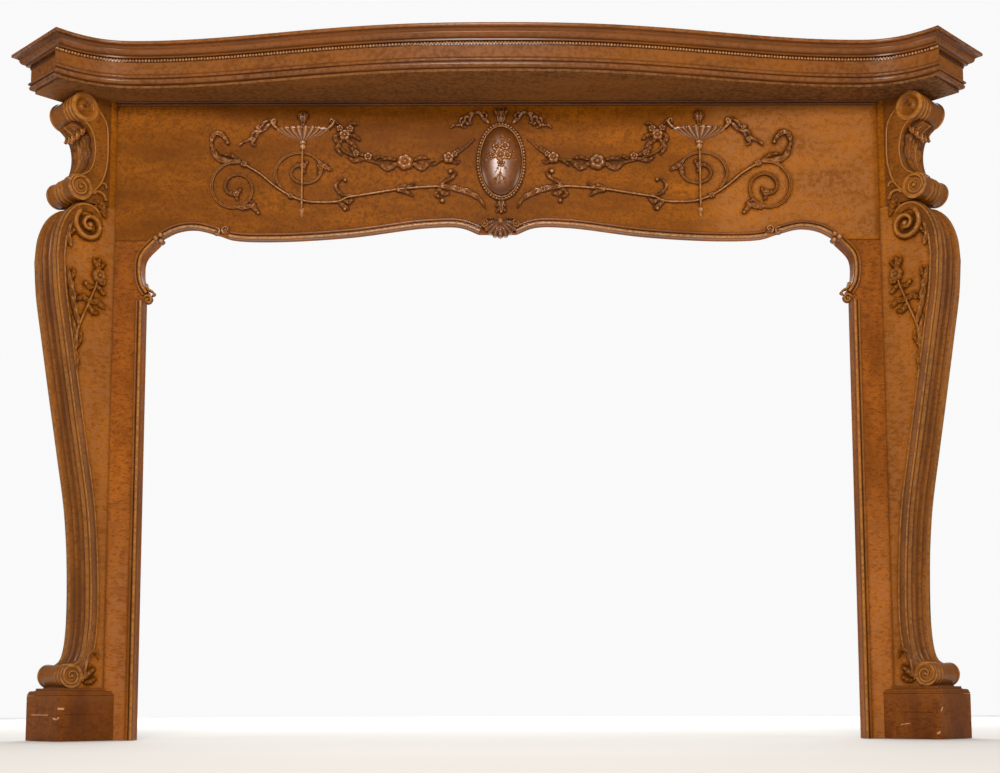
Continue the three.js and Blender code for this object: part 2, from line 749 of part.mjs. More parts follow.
/** Shallow fluted bowl on a staff, with a flame over it and a ribbon at its left. */
function torch() {
  const x = -TORCH_X;
  const rim = MEDALLION_HEIGHT + size(281);
  const cup = [[0, 1], [0.15, 0.96], [0.5, 0.7], [1, 0.28]].map(([down, half]) => [
    rim - BOWL_DEPTH * down,
    BOWL_HALF_WIDTH * half,
  ]);
  const under = [[18, 22], [43, 32], [65, 14]].map(([down, half]) => [
    rim - BOWL_DEPTH - size(down),
    size(half),
  ]);
  const over = [[-7, 25], [29, 14], [43, 32], [94, 36], [152, 7]];
  const flame = over.map(([up, half]) => [rim + size(up), size(half)]);
  const foot = MEDALLION_HEIGHT - size(422);
  const staff = [[x, rim - BOWL_DEPTH - size(58)], [x, foot]];
  const tip = [[22, 11], [0, 22], [-25, 7]].map(([up, half]) => [foot + size(up), size(half)]);
  const bow = [[-14, -4], [29, 65], [94, 7], [173, -101], [260, -123]];
  return joined([
    turning(x, [...cup, ...under]),
    turning(x, flame, 0.9),
    stem(staff, STEM_WIDTH, RELIEF * 1.5),
    turning(x, tip),
    stem(smooth(bow.map(([out, up]) => [x - BOWL_HALF_WIDTH - size(out), rim + size(up)]), 6), size(32)),
  ]);
}

/** Rinceau: a long stem with a volute at its left, a spiral round the staff and leaves. */
function rinceau() {
  const upright = size(1000) / wide(428);
  const volute = spiral(spot([-909, -217]), wide(94), wide(25), 76, 640, 11, upright);
  const eye = [-TORCH_X + size(14), MEDALLION_HEIGHT - size(79)];
  const round = spiral(eye, wide(105), wide(28), 232, -260, 10, upright * 0.82);
  const [knot, node, cluster, bell, head] = [
    [-878, -14], [-716, -285], [-543, -332], [-318, -227], [-201, -213],
  ].map(spot);
  const diagonal = smooth([volute[1], knot, spot([-802, -144]), node, spot([-640, -332]), cluster], 6);
  const along = smooth([cluster, spot([-478, -278]), spot([-386, -245]), bell, head], 4);
  const curled = [
    [[[-887, -7], [-975, 29], [-997, 195], [-957, 238], [-935, 166]], 4, 61],
    [[[-873, -318], [-849, -361], [-826, -411]], 2, 54],
    [[[-625, -29], [-602, -22], [-568, -79]], 2, 54],
    [[[-491, -289], [-543, -253], [-556, -173], [-528, -144]], 3, 32],
    [[[-543, -332], [-519, -404]], 2, 43],
    [[[-343, -235], [-318, -227], [-296, -198]], 2, 58],
    [[[-201, -213], [-170, -159], [-151, -115], [-167, -79]], 3, 32],
    [[[-201, -213], [-145, -224], [-80, -296], [-46, -397]], 3, 61],
    [[[-201, -213], [-204, -289], [-191, -332]], 2, 36],
  ];
  return joined([
    stem(volute),
    stem(round, STEM_WIDTH, RELIEF * 0.5),
    stem(diagonal, STEM_WIDTH * 0.85),
    stem(along),
    bloom(knot, size(29), 4),
    bloom(node, size(29), 4),
    bloom(volute.at(-1), size(32), 5),
    bloom(round.at(-1), size(29), 4),
    ...curled.map(([places, steps, width]) => leaf(smooth(places.map(spot), steps), size(width))),
  ]);
}

// Legs: u runs forward from the seam with the jamb, w outward across the leg, z up

function legPoint(u, w, z) {
  return new THREE.Vector3(-SEAM_X - COS * u - SIN * w, -SIN * u + COS * w, z);
}

/** A profile of u and z pairs carried straight across the leg between two widths. */
function across(profile, from, to) {
  const outline = profile.map(([u, z]) => new THREE.Vector2(u, z));
  const rings = [from, to].map((w) => outline.map((p) => legPoint(p.x, w, p.y)));
  return loft(rings, outline, outline);
}

/** A ridge on the inner side of the leg, along u and z pairs. */
function sideRidge(points, widthAt, rise = PANEL_RECESS + 2) {
  const normals = normalsOf(points);
  const floor = PANEL_RECESS + 1;
  const flat = [[-0.5, 0], [0, 1], [0.5, 0]];
  const rings = points.map(([u, z], i) => {
    const share = i / (points.length - 1);
    return flat.map(([a, up]) =>
      legPoint(
        u + normals[i][0] * a * widthAt(share),
        floor - up * (rise + 1),
        z + normals[i][1] * a * widthAt(share),
      ),
    );
  });
  const outline = flat.map(([a, b]) => new THREE.Vector2(a, b));
  return loft(rings, outline, outline);
}

/** A roll lying across the leg, with reeds turned round it. */
function roll([cu, cz], radius, from, to) {
  const sides = 10;
  const left = [[0, 0.88], [0.07, 1], [0.3, 0.96], [0.36, 0.88]];
  const right = left.map(([share, size]) => [1 - share, size]).reverse();
  const rings = [...left, ...right].map(([share, size]) =>
    Array.from({ length: sides }, (_, i) => {
      const angle = (2 * Math.PI * (i + 0.5)) / sides;
      return legPoint(
        cu + radius * size * Math.cos(angle),
        from + (to - from) * share,
        cz + radius * size * Math.sin(angle),
      );
    }),
  );
  const rim = Array.from({ length: sides }, (_, i) => {
    const angle = (2 * Math.PI * (i + 0.5)) / sides;
    return new THREE.Vector2(Math.cos(angle), Math.sin(angle));
  });
  return loft(rings, rim, rim);
}

const HEAD_TOP = LEG_HEAD - GLUE_LINE;
const ROLL_CENTRE = [FOOT_ROLL_REACH, CAP_TOP + GLUE_LINE + FOOT_ROLL_RADIUS];

/** Front line of the cabriole, from the neck over the foot roll up to the knee. */
function shinLine() {
  const knee = LEG_HEAD - KNEE_DROP;
  const ankle = CAP_TOP + ANKLE_RISE;
  const rise = knee - ankle;
  const swell = KNEE_REACH - ANKLE_REACH;
  return smooth(
    [
      [ROLL_CENTRE[0] - 6, ROLL_CENTRE[1] + FOOT_ROLL_RADIUS - 3],
      [ANKLE_REACH + 15, ankle - ANKLE_RISE * 0.68],
      [ANKLE_REACH + 3, ankle - ANKLE_RISE * 0.42],
      [ANKLE_REACH, ankle],
      [ANKLE_REACH + swell * 0.12, ankle + rise * 0.25],
      [ANKLE_REACH + swell * 0.34, ankle + rise * 0.43],
      [ANKLE_REACH + swell * 0.55, ankle + rise * 0.59],
      [ANKLE_REACH + swell * 0.78, ankle + rise * 0.77],
      [ANKLE_REACH + swell * 0.94, ankle + rise * 0.9],
      [KNEE_REACH, knee],
    ],
    8,
  );
}

/** The same line from the knee over the head and down behind it. */
function headLine() {
  const knee = LEG_HEAD - KNEE_DROP;
  return smooth(
    [
      [KNEE_REACH, knee],
      [KNEE_REACH - 6, knee + KNEE_DROP * 0.42],
      [KNEE_REACH - 25, knee + KNEE_DROP * 0.76],
      [KNEE_REACH - 50, knee + KNEE_DROP * 0.94],
      [KNEE_REACH - 70, HEAD_TOP - 1.5],
      [KNEE_REACH - 92, HEAD_TOP - 5],
      [PILASTER_REACH + 18, HEAD_TOP - 22],
      [PILASTER_REACH + 13, HEAD_TOP - 46],
    ],
    7,
  );
}

/** Fluted band carried along the front line, with a reed at each edge. */
function band(line) {
  const normals = normalsOf(line);
  const t = BAND_THICKNESS;
  const f = BAND_FLUTE;
  const section = [
    [0, -t], [0, -2], [0.16, 0], [0.2, -f], [0.45, -f], [0.5, -f * 0.3], [0.55, -f],
    [0.8, -f], [0.84, 0], [1, -2], [1, -t],
  ];
  const rings = line.map(([u, z], i) =>
    section.map(([share, depth]) =>
      legPoint(u - normals[i][0] * depth, share * LEG_WIDTH, z - normals[i][1] * depth),
    ),
  );
  const outline = section.map(([share, depth]) => new THREE.Vector2(share * LEG_WIDTH, depth));
  return loft(rings, outline, outline);
}

/** Everything behind the wall, or inside the boards, is cut from what stands beside them. */
function clearOfBoards(solid) {
  const wall = block([-2 * SEAM_X, BOARD_THICKNESS, -1], [0, 2 * FAR, 2 * MANTEL_HEIGHT]);
  const boards = block([-SEAM_X, -GLUE_LINE, -1], [0, 2 * FAR, 2 * MANTEL_HEIGHT]);
  return largest(solid.subtract(toSolid(wall)).subtract(toSolid(boards)));
}

function leg() {
  const line = [...shinLine(), ...headLine().slice(1)].reverse();
  const normals = normalsOf(line);
  const cover = BAND_THICKNESS * 0.5;
  const front = line.map(([u, z], i) => [u - normals[i][0] * cover, z - normals[i][1] * cover]);
  const foot = CAP_TOP + GLUE_LINE;
  const profile = [
    ...front.filter(([u]) => u > PILASTER_REACH),
    [FOOT_ROLL_REACH, foot + FOOT_ROLL_RADIUS],
    [FOOT_ROLL_REACH, foot],
    [-FAR / 2, foot],
    [-FAR / 2, SOFFIT_HEIGHT - GLUE_LINE],
    [PILASTER_REACH, SOFFIT_HEIGHT - GLUE_LINE],
    [PILASTER_REACH, HEAD_TOP - 20],
  ];
  const parts = [
    across(profile, PANEL_RECESS, LEG_WIDTH - PANEL_RECESS),
    band([...line].reverse()),
    roll(ROLL_CENTRE, FOOT_ROLL_RADIUS, -ROLL_OVERHANG, LEG_WIDTH + ROLL_OVERHANG),
  ];
  const eye = [PILASTER_REACH + 47, LEG_HEAD - 60];
  const volute = spiral(eye, HEAD_VOLUTE_RADIUS, 7, 10, -440, 9);
  const knee = LEG_HEAD - KNEE_DROP;
  parts.push(sideRidge(volute, (s) => 11 - 5 * s));
  parts.push(...legSprays(knee));
  return clearOfBoards(joined(parts));
}

/** Flower spray and border leaves carved on the inner side of the leg. */
function legSprays(knee) {
  const full = (width) => (s) => width * (0.3 + 0.7 * Math.sin(Math.PI * Math.min(0.95, 0.2 + s * 0.8)));
  const rise = PANEL_RECESS + 1;
  const border = (s) => KNEE_REACH - BAND_THICKNESS - 14 - s;
  const paths = [
    [[[36, knee - 24], [44, knee - 54], [62, knee - 96], [84, knee - 150]], 7],
    [[[34, knee + 8], [38, knee - 6], [40, knee - 20]], 14],
    [[[42, knee - 30], [24, knee - 34], [20, knee - 18]], 9],
    [[[84, knee - 102], [56, knee - 94], [22, knee - 98]], 14],
    [[[84, knee - 150], [96, knee - 90], [border(0), knee - 30]], 15],
    [[[border(8), knee + 40], [border(2), knee + 66], [border(14), knee + 84]], 14],
    [[[22, foot(70)], [34, foot(44)], [46, foot(22)]], 14],
  ];
  return paths.map(([points, width]) => sideRidge(smooth(points, 3), full(width), rise));
}

function foot(rise) {
  return CAP_TOP + rise;
}

/** Double scroll under the shelf: an upper roll, a hollow strap with a leaf and a lower roll. */
function corbel() {
  const top = SOFFIT_HEIGHT - GLUE_LINE;
  const bottom = LEG_HEAD + GLUE_LINE;
  const upper = [UPPER_ROLL_REACH, top - UPPER_ROLL_RADIUS];
  const lower = [LOWER_ROLL_REACH, bottom + LOWER_ROLL_RADIUS];
  const span = upper[1] - lower[1];
  const at = (share) => lower[1] + span * share;
  const hollow = STRAP_HOLLOW_REACH;
  const back = STRAP_BACK_REACH;
  const frontLine = smooth(
    [[lower[0] + 10, lower[1] + 24], [hollow + 10, at(0.26)], [hollow, at(0.5)], [hollow + 10, at(0.72)],
      [upper[0] + 12, upper[1] - 28]],
    6,
  );
  const backLine = smooth(
    [[upper[0] - 34, at(1.04)], [back + 5, at(0.86)], [back, at(0.6)], [back + 2, at(0.34)],
      [back + 16, at(0.1)], [lower[0] - 20, lower[1] - 20]],
    6,
  );
  const strap = across([...frontLine, upper, ...backLine, lower], 0, LEG_WIDTH);
  const core = across(
    [[PILASTER_REACH + GLUE_LINE, bottom], [lower[0] - 6, bottom], [hollow - 8, at(0.5)], [upper[0], top],
      [PILASTER_REACH + GLUE_LINE, top]],
    PANEL_RECESS,
    LEG_WIDTH - PANEL_RECESS,
  );
  const parts = [
    strap,
    core,
    roll(upper, UPPER_ROLL_RADIUS, -ROLL_OVERHANG, LEG_WIDTH + ROLL_OVERHANG),
    roll(lower, LOWER_ROLL_RADIUS, -ROLL_OVERHANG, LEG_WIDTH + ROLL_OVERHANG),
    hollowLeaf(frontLine),
  ];
  return clearOfBoards(joined(parts));
}

/** Leaf lying in the hollow of the corbel, broad under the upper roll and pointed below. */
function hollowLeaf(line) {
  const normals = normalsOf(line);
  const middle = LEG_WIDTH / 2;
  const halves = [5, 20, 31, 37, 40, 37, 28];
  const flat = [[-1, -4], [-0.8, 4], [-0.3, 9], [0.3, 9], [0.8, 4], [1, -4]];
  const rings = line.map(([u, z], i) =>
    flat.map(([share, rise]) =>
      legPoint(u - normals[i][0] * -rise, middle + share * halves[i], z - normals[i][1] * -rise),
    ),
  );
  const outline = flat.map(([a, b]) => new THREE.Vector2(a, b));
  return loft(rings, outline, outline);
}

// Plinths

/** Footprint of a plinth stepped in from its faces, with a long tail for the wall cut. */
function plinthRing(inset, z) {
  const low = -PLINTH_MARGIN + inset;
  const high = LEG_WIDTH + PLINTH_MARGIN - inset;
  const reach = PLINTH_REACH - inset;
  return [[reach, low], [reach, high], [-FAR / 2, high], [-FAR / 2, low]].map(([u, w]) => legPoint(u, w, z));
}

function plinthSolid(profile) {
  const outline = [[1, 0], [1, 1], [0, 1], [0, 0]].map(([a, b]) => new THREE.Vector2(a, b));
  const rings = profile.map(([inset, z]) => plinthRing(inset, z));
  return clearOfBoards(toSolid(loft(rings, outline, outline)));
}

function plinth() {
  return plinthSolid([[0, 0], [0, PLINTH_HEIGHT]]);
}

/** Stepped cap: fillet, ogee and a top fillet under the leg. */
function plinthCap() {
  const low = PLINTH_HEIGHT + GLUE_LINE;
  const step = PLINTH_MARGIN * 0.8;
  return plinthSolid([
    [1.5, low],
    [1.5, low + CAP_HEIGHT * 0.2],
    [step * 0.35, low + CAP_HEIGHT * 0.35],
    [step * 0.75, low + CAP_HEIGHT * 0.6],
    [step * 0.8, low + CAP_HEIGHT * 0.8],
    [step, low + CAP_HEIGHT * 0.85],
    [step, low + CAP_HEIGHT],
  ]);
}

/** Small round strip in the angle of frieze and soffit. */
function friezeBead() {
  const half = SEAM_X - 2 * GLUE_LINE;
  const top = SOFFIT_HEIGHT - GLUE_LINE;
  const flat = [[0, 0], [1, 0], [0.95, -0.5], [0.5, -0.8], [0.4, -1], [0, -1]];
  const outline = flat.map(([a, b]) => new THREE.Vector2(a, b));
  const ring = (x) =>
    flat.map(([out, down]) => new THREE.Vector3(x, -GLUE_LINE - out * FRIEZE_BEAD, top + down * FRIEZE_BEAD));
  return loft([ring(-half), ring(half)], outline, outline);
}

// Assembly

const mantel = new THREE.Group();
mantel.position.y = (SHELF_BOW - BOARD_THICKNESS) / 2;

function place(name, geometry, finish) {
  const mesh = new THREE.Mesh(geometry, finish);
  mesh.name = name;
  mantel.add(mesh);
}

/** Adds a left piece and its mirror image. */
function placePair(name, geometry, finish) {
  place(`${name}_left`, geometry, finish);
  place(`${name}_right`, mirrored(geometry), finish);
}

place('mantelshelf', mantelshelf(), FINISHES.shelf);
place('pearl_strip', pearlStrip(), FINISHES.shelf);
place('cornice_fascia', fascia(), FINISHES.shelf);
place('bed_moulding', bedMoulding(), FINISHES.shelf);
place('soffit_board', soffitBoard(), FINISHES.soffit);
place('frieze_panel', friezePanel(), FINISHES.panel);
place('frieze_bead', friezeBead(), FINISHES.carving);
place('shell', shell(), FINISHES.carving);
place('medallion_boss', medallionBoss(), FINISHES.carving);
place('medallion_pearls', medallionPearls(), FINISHES.carving);
place('crest', crest(), FINISHES.carving);
place('pendant', pendant(), FINISHES.carving);
placePair('ribbon', ribbon(), FINISHES.carving);
placePair('garland', garland(), FINISHES.carving);
placePair('torch_and_rinceau', toGeometry(torch().add(rinceau())), FINISHES.carving);
placePair('jamb_panel', jambPanel(), FINISHES.jamb);
placePair('jamb_moulding', jambMoulding(), FINISHES.carving);
placePair('arch_moulding', archMoulding(), FINISHES.carving);
placePair('sweep_moulding', sweepMoulding(), FINISHES.carving);
placePair('leg', toGeometry(leg()), FINISHES.panel);
placePair('corbel', toGeometry(corbel()), FINISHES.carving);
placePair('plinth_cap', toGeometry(plinthCap()), FINISHES.shelf);
placePair('plinth', toGeometry(plinth()), FINISHES.shelf);

export default mantel;
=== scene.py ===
"""Dresses a carved maple fireplace mantel and lights it for its portrait.

Shapes are worked out in millimetres with the boards' front plane at y = 0, as the solids are, and
moved into the frame in metres when a mesh is made. X runs along the wall, -Y is the room side.
"""

import logging
import math
from dataclasses import dataclass, field
from enum import Enum
from typing import Callable

import bpy
import numpy as np
from mathutils import Matrix

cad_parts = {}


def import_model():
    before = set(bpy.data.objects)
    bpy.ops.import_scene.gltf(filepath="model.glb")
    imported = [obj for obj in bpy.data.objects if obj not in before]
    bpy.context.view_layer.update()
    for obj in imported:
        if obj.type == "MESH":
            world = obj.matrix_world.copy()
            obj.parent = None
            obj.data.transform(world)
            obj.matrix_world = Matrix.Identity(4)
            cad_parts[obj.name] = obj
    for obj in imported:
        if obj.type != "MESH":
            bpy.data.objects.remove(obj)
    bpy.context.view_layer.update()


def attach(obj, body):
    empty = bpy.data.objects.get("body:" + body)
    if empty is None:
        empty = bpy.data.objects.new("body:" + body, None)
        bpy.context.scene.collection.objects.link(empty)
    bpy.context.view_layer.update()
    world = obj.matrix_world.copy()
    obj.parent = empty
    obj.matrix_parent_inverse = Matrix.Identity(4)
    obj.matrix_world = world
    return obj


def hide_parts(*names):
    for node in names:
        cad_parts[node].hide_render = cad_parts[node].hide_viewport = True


LOG = logging.getLogger("mantel")
MM = 0.001
CANT = math.pi / 4


class Side(Enum):
    """Which half of the mantel a piece stands in."""

    LEFT = -1
    RIGHT = 1

    @property
    def word(self) -> str:
        """The side as the pieces' names spell it."""
        return self.name.lower()


class Section(Enum):
    """How a carved stroke is rounded across its width."""

    ROUND = "round"
    REEDED = "reeded"
    LEAF = "leaf"
    RIBBON = "ribbon"


class Grain(Enum):
    """The way the wood's grain runs: how its clouds and its small dashes scale along X, Y and Z."""

    ACROSS = ((0.3, 1.0, 1.0), (0.8, 1.0, 0.9))
    UPRIGHT = ((1.0, 1.0, 0.3), (0.42, 0.42, 1.0))


@dataclass(frozen=True)
class Layout:
    """Driving sizes of the mantel, in millimetres.

    The names are those of the pieces; seam_x is where the jambs meet the canted legs.
    """

    glue_line: float = 0.3
    board: float = 38.0
    frieze_board: float = 14.0
    opening_half_width: float = 790.0
    seam_x: float = 856.6
    jamb_height: float = 1108.0
    soffit_height: float = 1429.0
    leg_width: float = 98.0
    leg_head: float = 1182.0
    cap_top: float = 111.8
    shelf_bow: float = 207.0

    @property
    def setback(self) -> float:
        """How far the frame's middle lies in front of the boards' front plane."""
        return (self.shelf_bow - self.board) / 2

    @property
    def under_soffit(self) -> float:
        """Height of what stands up to the soffit board, less the glue line."""
        return self.soffit_height - self.glue_line

    @property
    def on_leg(self) -> float:
        """Height of what stands on a leg's head, over the glue line."""
        return self.leg_head + self.glue_line

    @property
    def canted_board(self) -> float:
        """Thickness of the boards, measured along a leg's side."""
        return self.board / math.cos(CANT)

    def to_frame(self, points: np.ndarray) -> np.ndarray:
        """Points in the frame, in metres."""
        return (points + np.array([0.0, self.setback, 0.0])) * MM


LAYOUT = Layout()
Face = Callable[[np.ndarray, np.ndarray, np.ndarray], np.ndarray]
Socket = bpy.types.NodeSocket


def board_face(x: np.ndarray, z: np.ndarray, up: np.ndarray) -> np.ndarray:
    """A point on the boards' front plane, lifted towards the room.

    Args:
        x: distance along the wall.
        z: height.
        up: height over the board's face.

    Returns:
        Points with x, y and z in their last axis.
    """
    return np.stack(np.broadcast_arrays(x, -LAYOUT.glue_line - up, z), axis=-1)


def leg_point(u: np.ndarray, w: np.ndarray, z: np.ndarray) -> np.ndarray:
    """A point of the left leg, whose own axes are turned 45 degrees about the seam.

    Args:
        u: distance forward along the leg's side, from the seam.
        w: distance outward across the leg.
        z: height.

    Returns:
        Points with x, y and z in their last axis.
    """
    x = -LAYOUT.seam_x - math.cos(CANT) * u - math.sin(CANT) * w
    y = -math.sin(CANT) * u + math.cos(CANT) * w
    return np.stack(np.broadcast_arrays(x, y, z), axis=-1)


def leg_side(depth: float) -> Face:
    """The leg's inner side as a face to carve on.

    Args:
        depth: how far across the leg the face lies.

    Returns:
        A face that takes u, z and the height over it.
    """
    return lambda u, z, up: leg_point(u, depth - up, z)


# Curves


def evenly(points: np.ndarray, count: int) -> np.ndarray:
    """Points at even distances along a polyline.

    Args:
        points: the polyline.
        count: how many points to return.

    Returns:
        The new points.
    """
    steps = np.linalg.norm(np.diff(points, axis=0), axis=1)
    along = np.concatenate([[0.0], np.cumsum(steps)])
    wanted = np.linspace(0.0, along[-1], count)
    return np.stack([np.interp(wanted, along, column) for column in points.T], axis=1)


def curve(points: list, count: int) -> np.ndarray:
    """A smooth curve through points.

    Each stretch is a cubic whose slope at a point is the mean of the two chords there, weighted by
    the square roots of their lengths.

    Args:
        points: pairs that the curve passes through.
        count: how many points to return, evenly apart.

    Returns:
        The points of the curve.
    """
    knots = np.asarray(points, float)
    chord = np.diff(knots, axis=0)
    gap = np.sqrt(np.linalg.norm(chord, axis=1))
    slope = chord / gap[:, None]
    tangent = np.concatenate([slope[:1], slope[:1].repeat(len(knots) - 2, axis=0), slope[-1:]])
    weight = (gap[1:] + gap[:-1])[:, None]
    tangent[1:-1] = (slope[:-1] * gap[1:, None] + slope[1:] * gap[:-1, None]) / weight
    start = np.concatenate([[0.0], np.cumsum(gap)])
    fine = np.linspace(0.0, start[-1], 24 * len(knots))
    span = np.clip(np.searchsorted(start, fine, side="right") - 1, 0, len(gap) - 1)
    t = ((fine - start[span]) / gap[span])[:, None]
    pull = gap[span][:, None]
    path = (
        (2 * t**3 - 3 * t**2 + 1) * knots[span]
        + (t**3 - 2 * t**2 + t) * pull * tangent[span]
        + (3 * t**2 - 2 * t**3) * knots[span + 1]
        + (t**3 - t**2) * pull * tangent[span + 1]
    )
    return evenly(path, count)


def spiral(centre: tuple, radii: tuple, degrees: tuple, count: int, squash: float = 1.0) -> np.ndarray:
    """A spiral whose radius shrinks evenly with its angle.

    Args:
        centre: its middle.
        radii: first and last radius.
        degrees: first and last angle.
        count: how many points to return.
        squash: height of the spiral as a share of its width.

    Returns:
        The points of the spiral.
    """
    angle = np.radians(np.linspace(*degrees, count))
    radius = np.linspace(*radii, count)
    return np.stack(
        [centre[0] + radius * np.cos(angle), centre[1] + squash * radius * np.sin(angle)], axis=1
    )


def left_normals(points: np.ndarray) -> np.ndarray:
    """Unit normals to the left of a flat path: its slopes turned by a right angle.

    Args:
        points: the path.

    Returns:
        A normal for each point.
    """
    slope = np.gradient(points, axis=0)
    length = np.linalg.norm(slope, axis=1, keepdims=True)
    return np.stack([-slope[:, 1], slope[:, 0]], axis=1) / np.maximum(length, 1e-9)


def arc_profile(start: tuple, end: tuple, bulge: float, count: int = 7) -> np.ndarray:
    """Part of a moulding's profile from one point to another, bowed to its left.

    The chord is lifted by a half sine, whose height is bulge times the chord's length.

    Args:
        start: first point.
        end: last point.
        bulge: height of the bow as a share of the chord, negative for a hollow.
        count: how many points to return.

    Returns:
        The points of the profile.
    """
    first, last = np.asarray(start, float), np.asarray(end, float)
    share = np.linspace(0.0, 1.0, count)[:, None]
    chord = last - first
    across = np.array([-chord[1], chord[0]])
    return first + share * chord + np.sin(math.pi * share) ** 0.8 * bulge * across


# Meshes


def closeness(where: np.ndarray, around: np.ndarray, reach: float, cell: float = 2.0) -> np.ndarray:
    """How closely carving surrounds points of a ground, used to paint shade round the carving.

    The carving's footprint is counted into a fine grid, blurred by a Gaussian through its Fourier
    transform, and read off at the points' cells.

    Args:
        where: pairs on the ground.
        around: pairs under the carving.
        reach: standard deviation of the blur.
        cell: width of a grid cell.

    Returns:
        A share for each point, near 1 beside dense carving and 0 far from it.
    """
    low = where.min(axis=0) - 8 * cell
    size = np.ceil((where.max(axis=0) + 8 * cell - low) / cell).astype(int)
    cells = np.clip(((around - low) / cell).astype(int), 0, size - 1)
    grid = np.zeros(size)
    grid[cells[:, 0], cells[:, 1]] = 1.0
    wave = [np.fft.fftfreq(size[0])[:, None], np.fft.rfftfreq(size[1])[None, :]]
    blur = np.exp(-2 * (math.pi * reach / cell) ** 2 * (wave[0] ** 2 + wave[1] ** 2))
    soft = np.fft.irfft2(np.fft.rfft2(grid) * blur, s=tuple(size))
    spot = np.clip(((where - low) / cell).astype(int), 0, size - 1)
    return np.clip(soft[spot[:, 0], spot[:, 1]] * 2.2, 0, 1)


def streak(where: np.ndarray, start: tuple, end: tuple, width: float) -> np.ndarray:
    """Mask of a scratch: 1 on the line from start to end, fading to 0 within its width.

    Args:
        where: pairs on a face.
        start: first end of the line.
        end: its last end.
        width: how far the scratch reaches from the line.

    Returns:
        The mask.
    """
    a, b = np.asarray(start, float), np.asarray(end, float)
    share = np.clip(np.sum((where - a) * (b - a), axis=-1) / np.sum((b - a) ** 2), 0, 1)
    far = np.linalg.norm(where - a - share[..., None] * (b - a), axis=-1)
    return np.clip(1.6 - 1.6 * far / width, 0, 1)


def section_height(section: Section, s: np.ndarray, t: np.ndarray, lobes: float) -> np.ndarray:
    """Height of a stroke over its ground, from 0 to 1.

    A round stroke is half an ellipse. A reeded one is the same with a groove along its middle. A leaf
    is a dome with a raised rib, a gutter on each side of the rib and veins that slant back from
    it. A ribbon is flat, with folds across it.

    Args:
        section: the kind of stroke.
        s: share of the way along the stroke.
        t: place across it, from -1 to 1.
        lobes: how many lobes or folds it has along its length.

    Returns:
        The heights.
    """
    if section is Section.RIBBON:
        return (1 - t**6) * (0.62 + 0.3 * np.sin(math.pi * lobes * s + 0.8 * t))
    arch = np.sqrt(np.clip(1 - t**2, 0, 1))
    if section is Section.ROUND:
        return arch + 0 * s
    if section is Section.REEDED:
        return arch * (1 - 0.45 * np.exp(-((t / 0.24) ** 2))) + 0 * s
    vein = np.cos(2 * math.pi * lobes * (s - 0.2 * np.abs(t)))
    gutter = np.exp(-(((np.abs(t) - 0.3) / 0.13) ** 2))
    rib = np.exp(-((t / 0.14) ** 2))
    return (1 - np.abs(t) ** 2.6) * (0.72 + 0.16 * vein - 0.3 * gutter) + 0.25 * rib


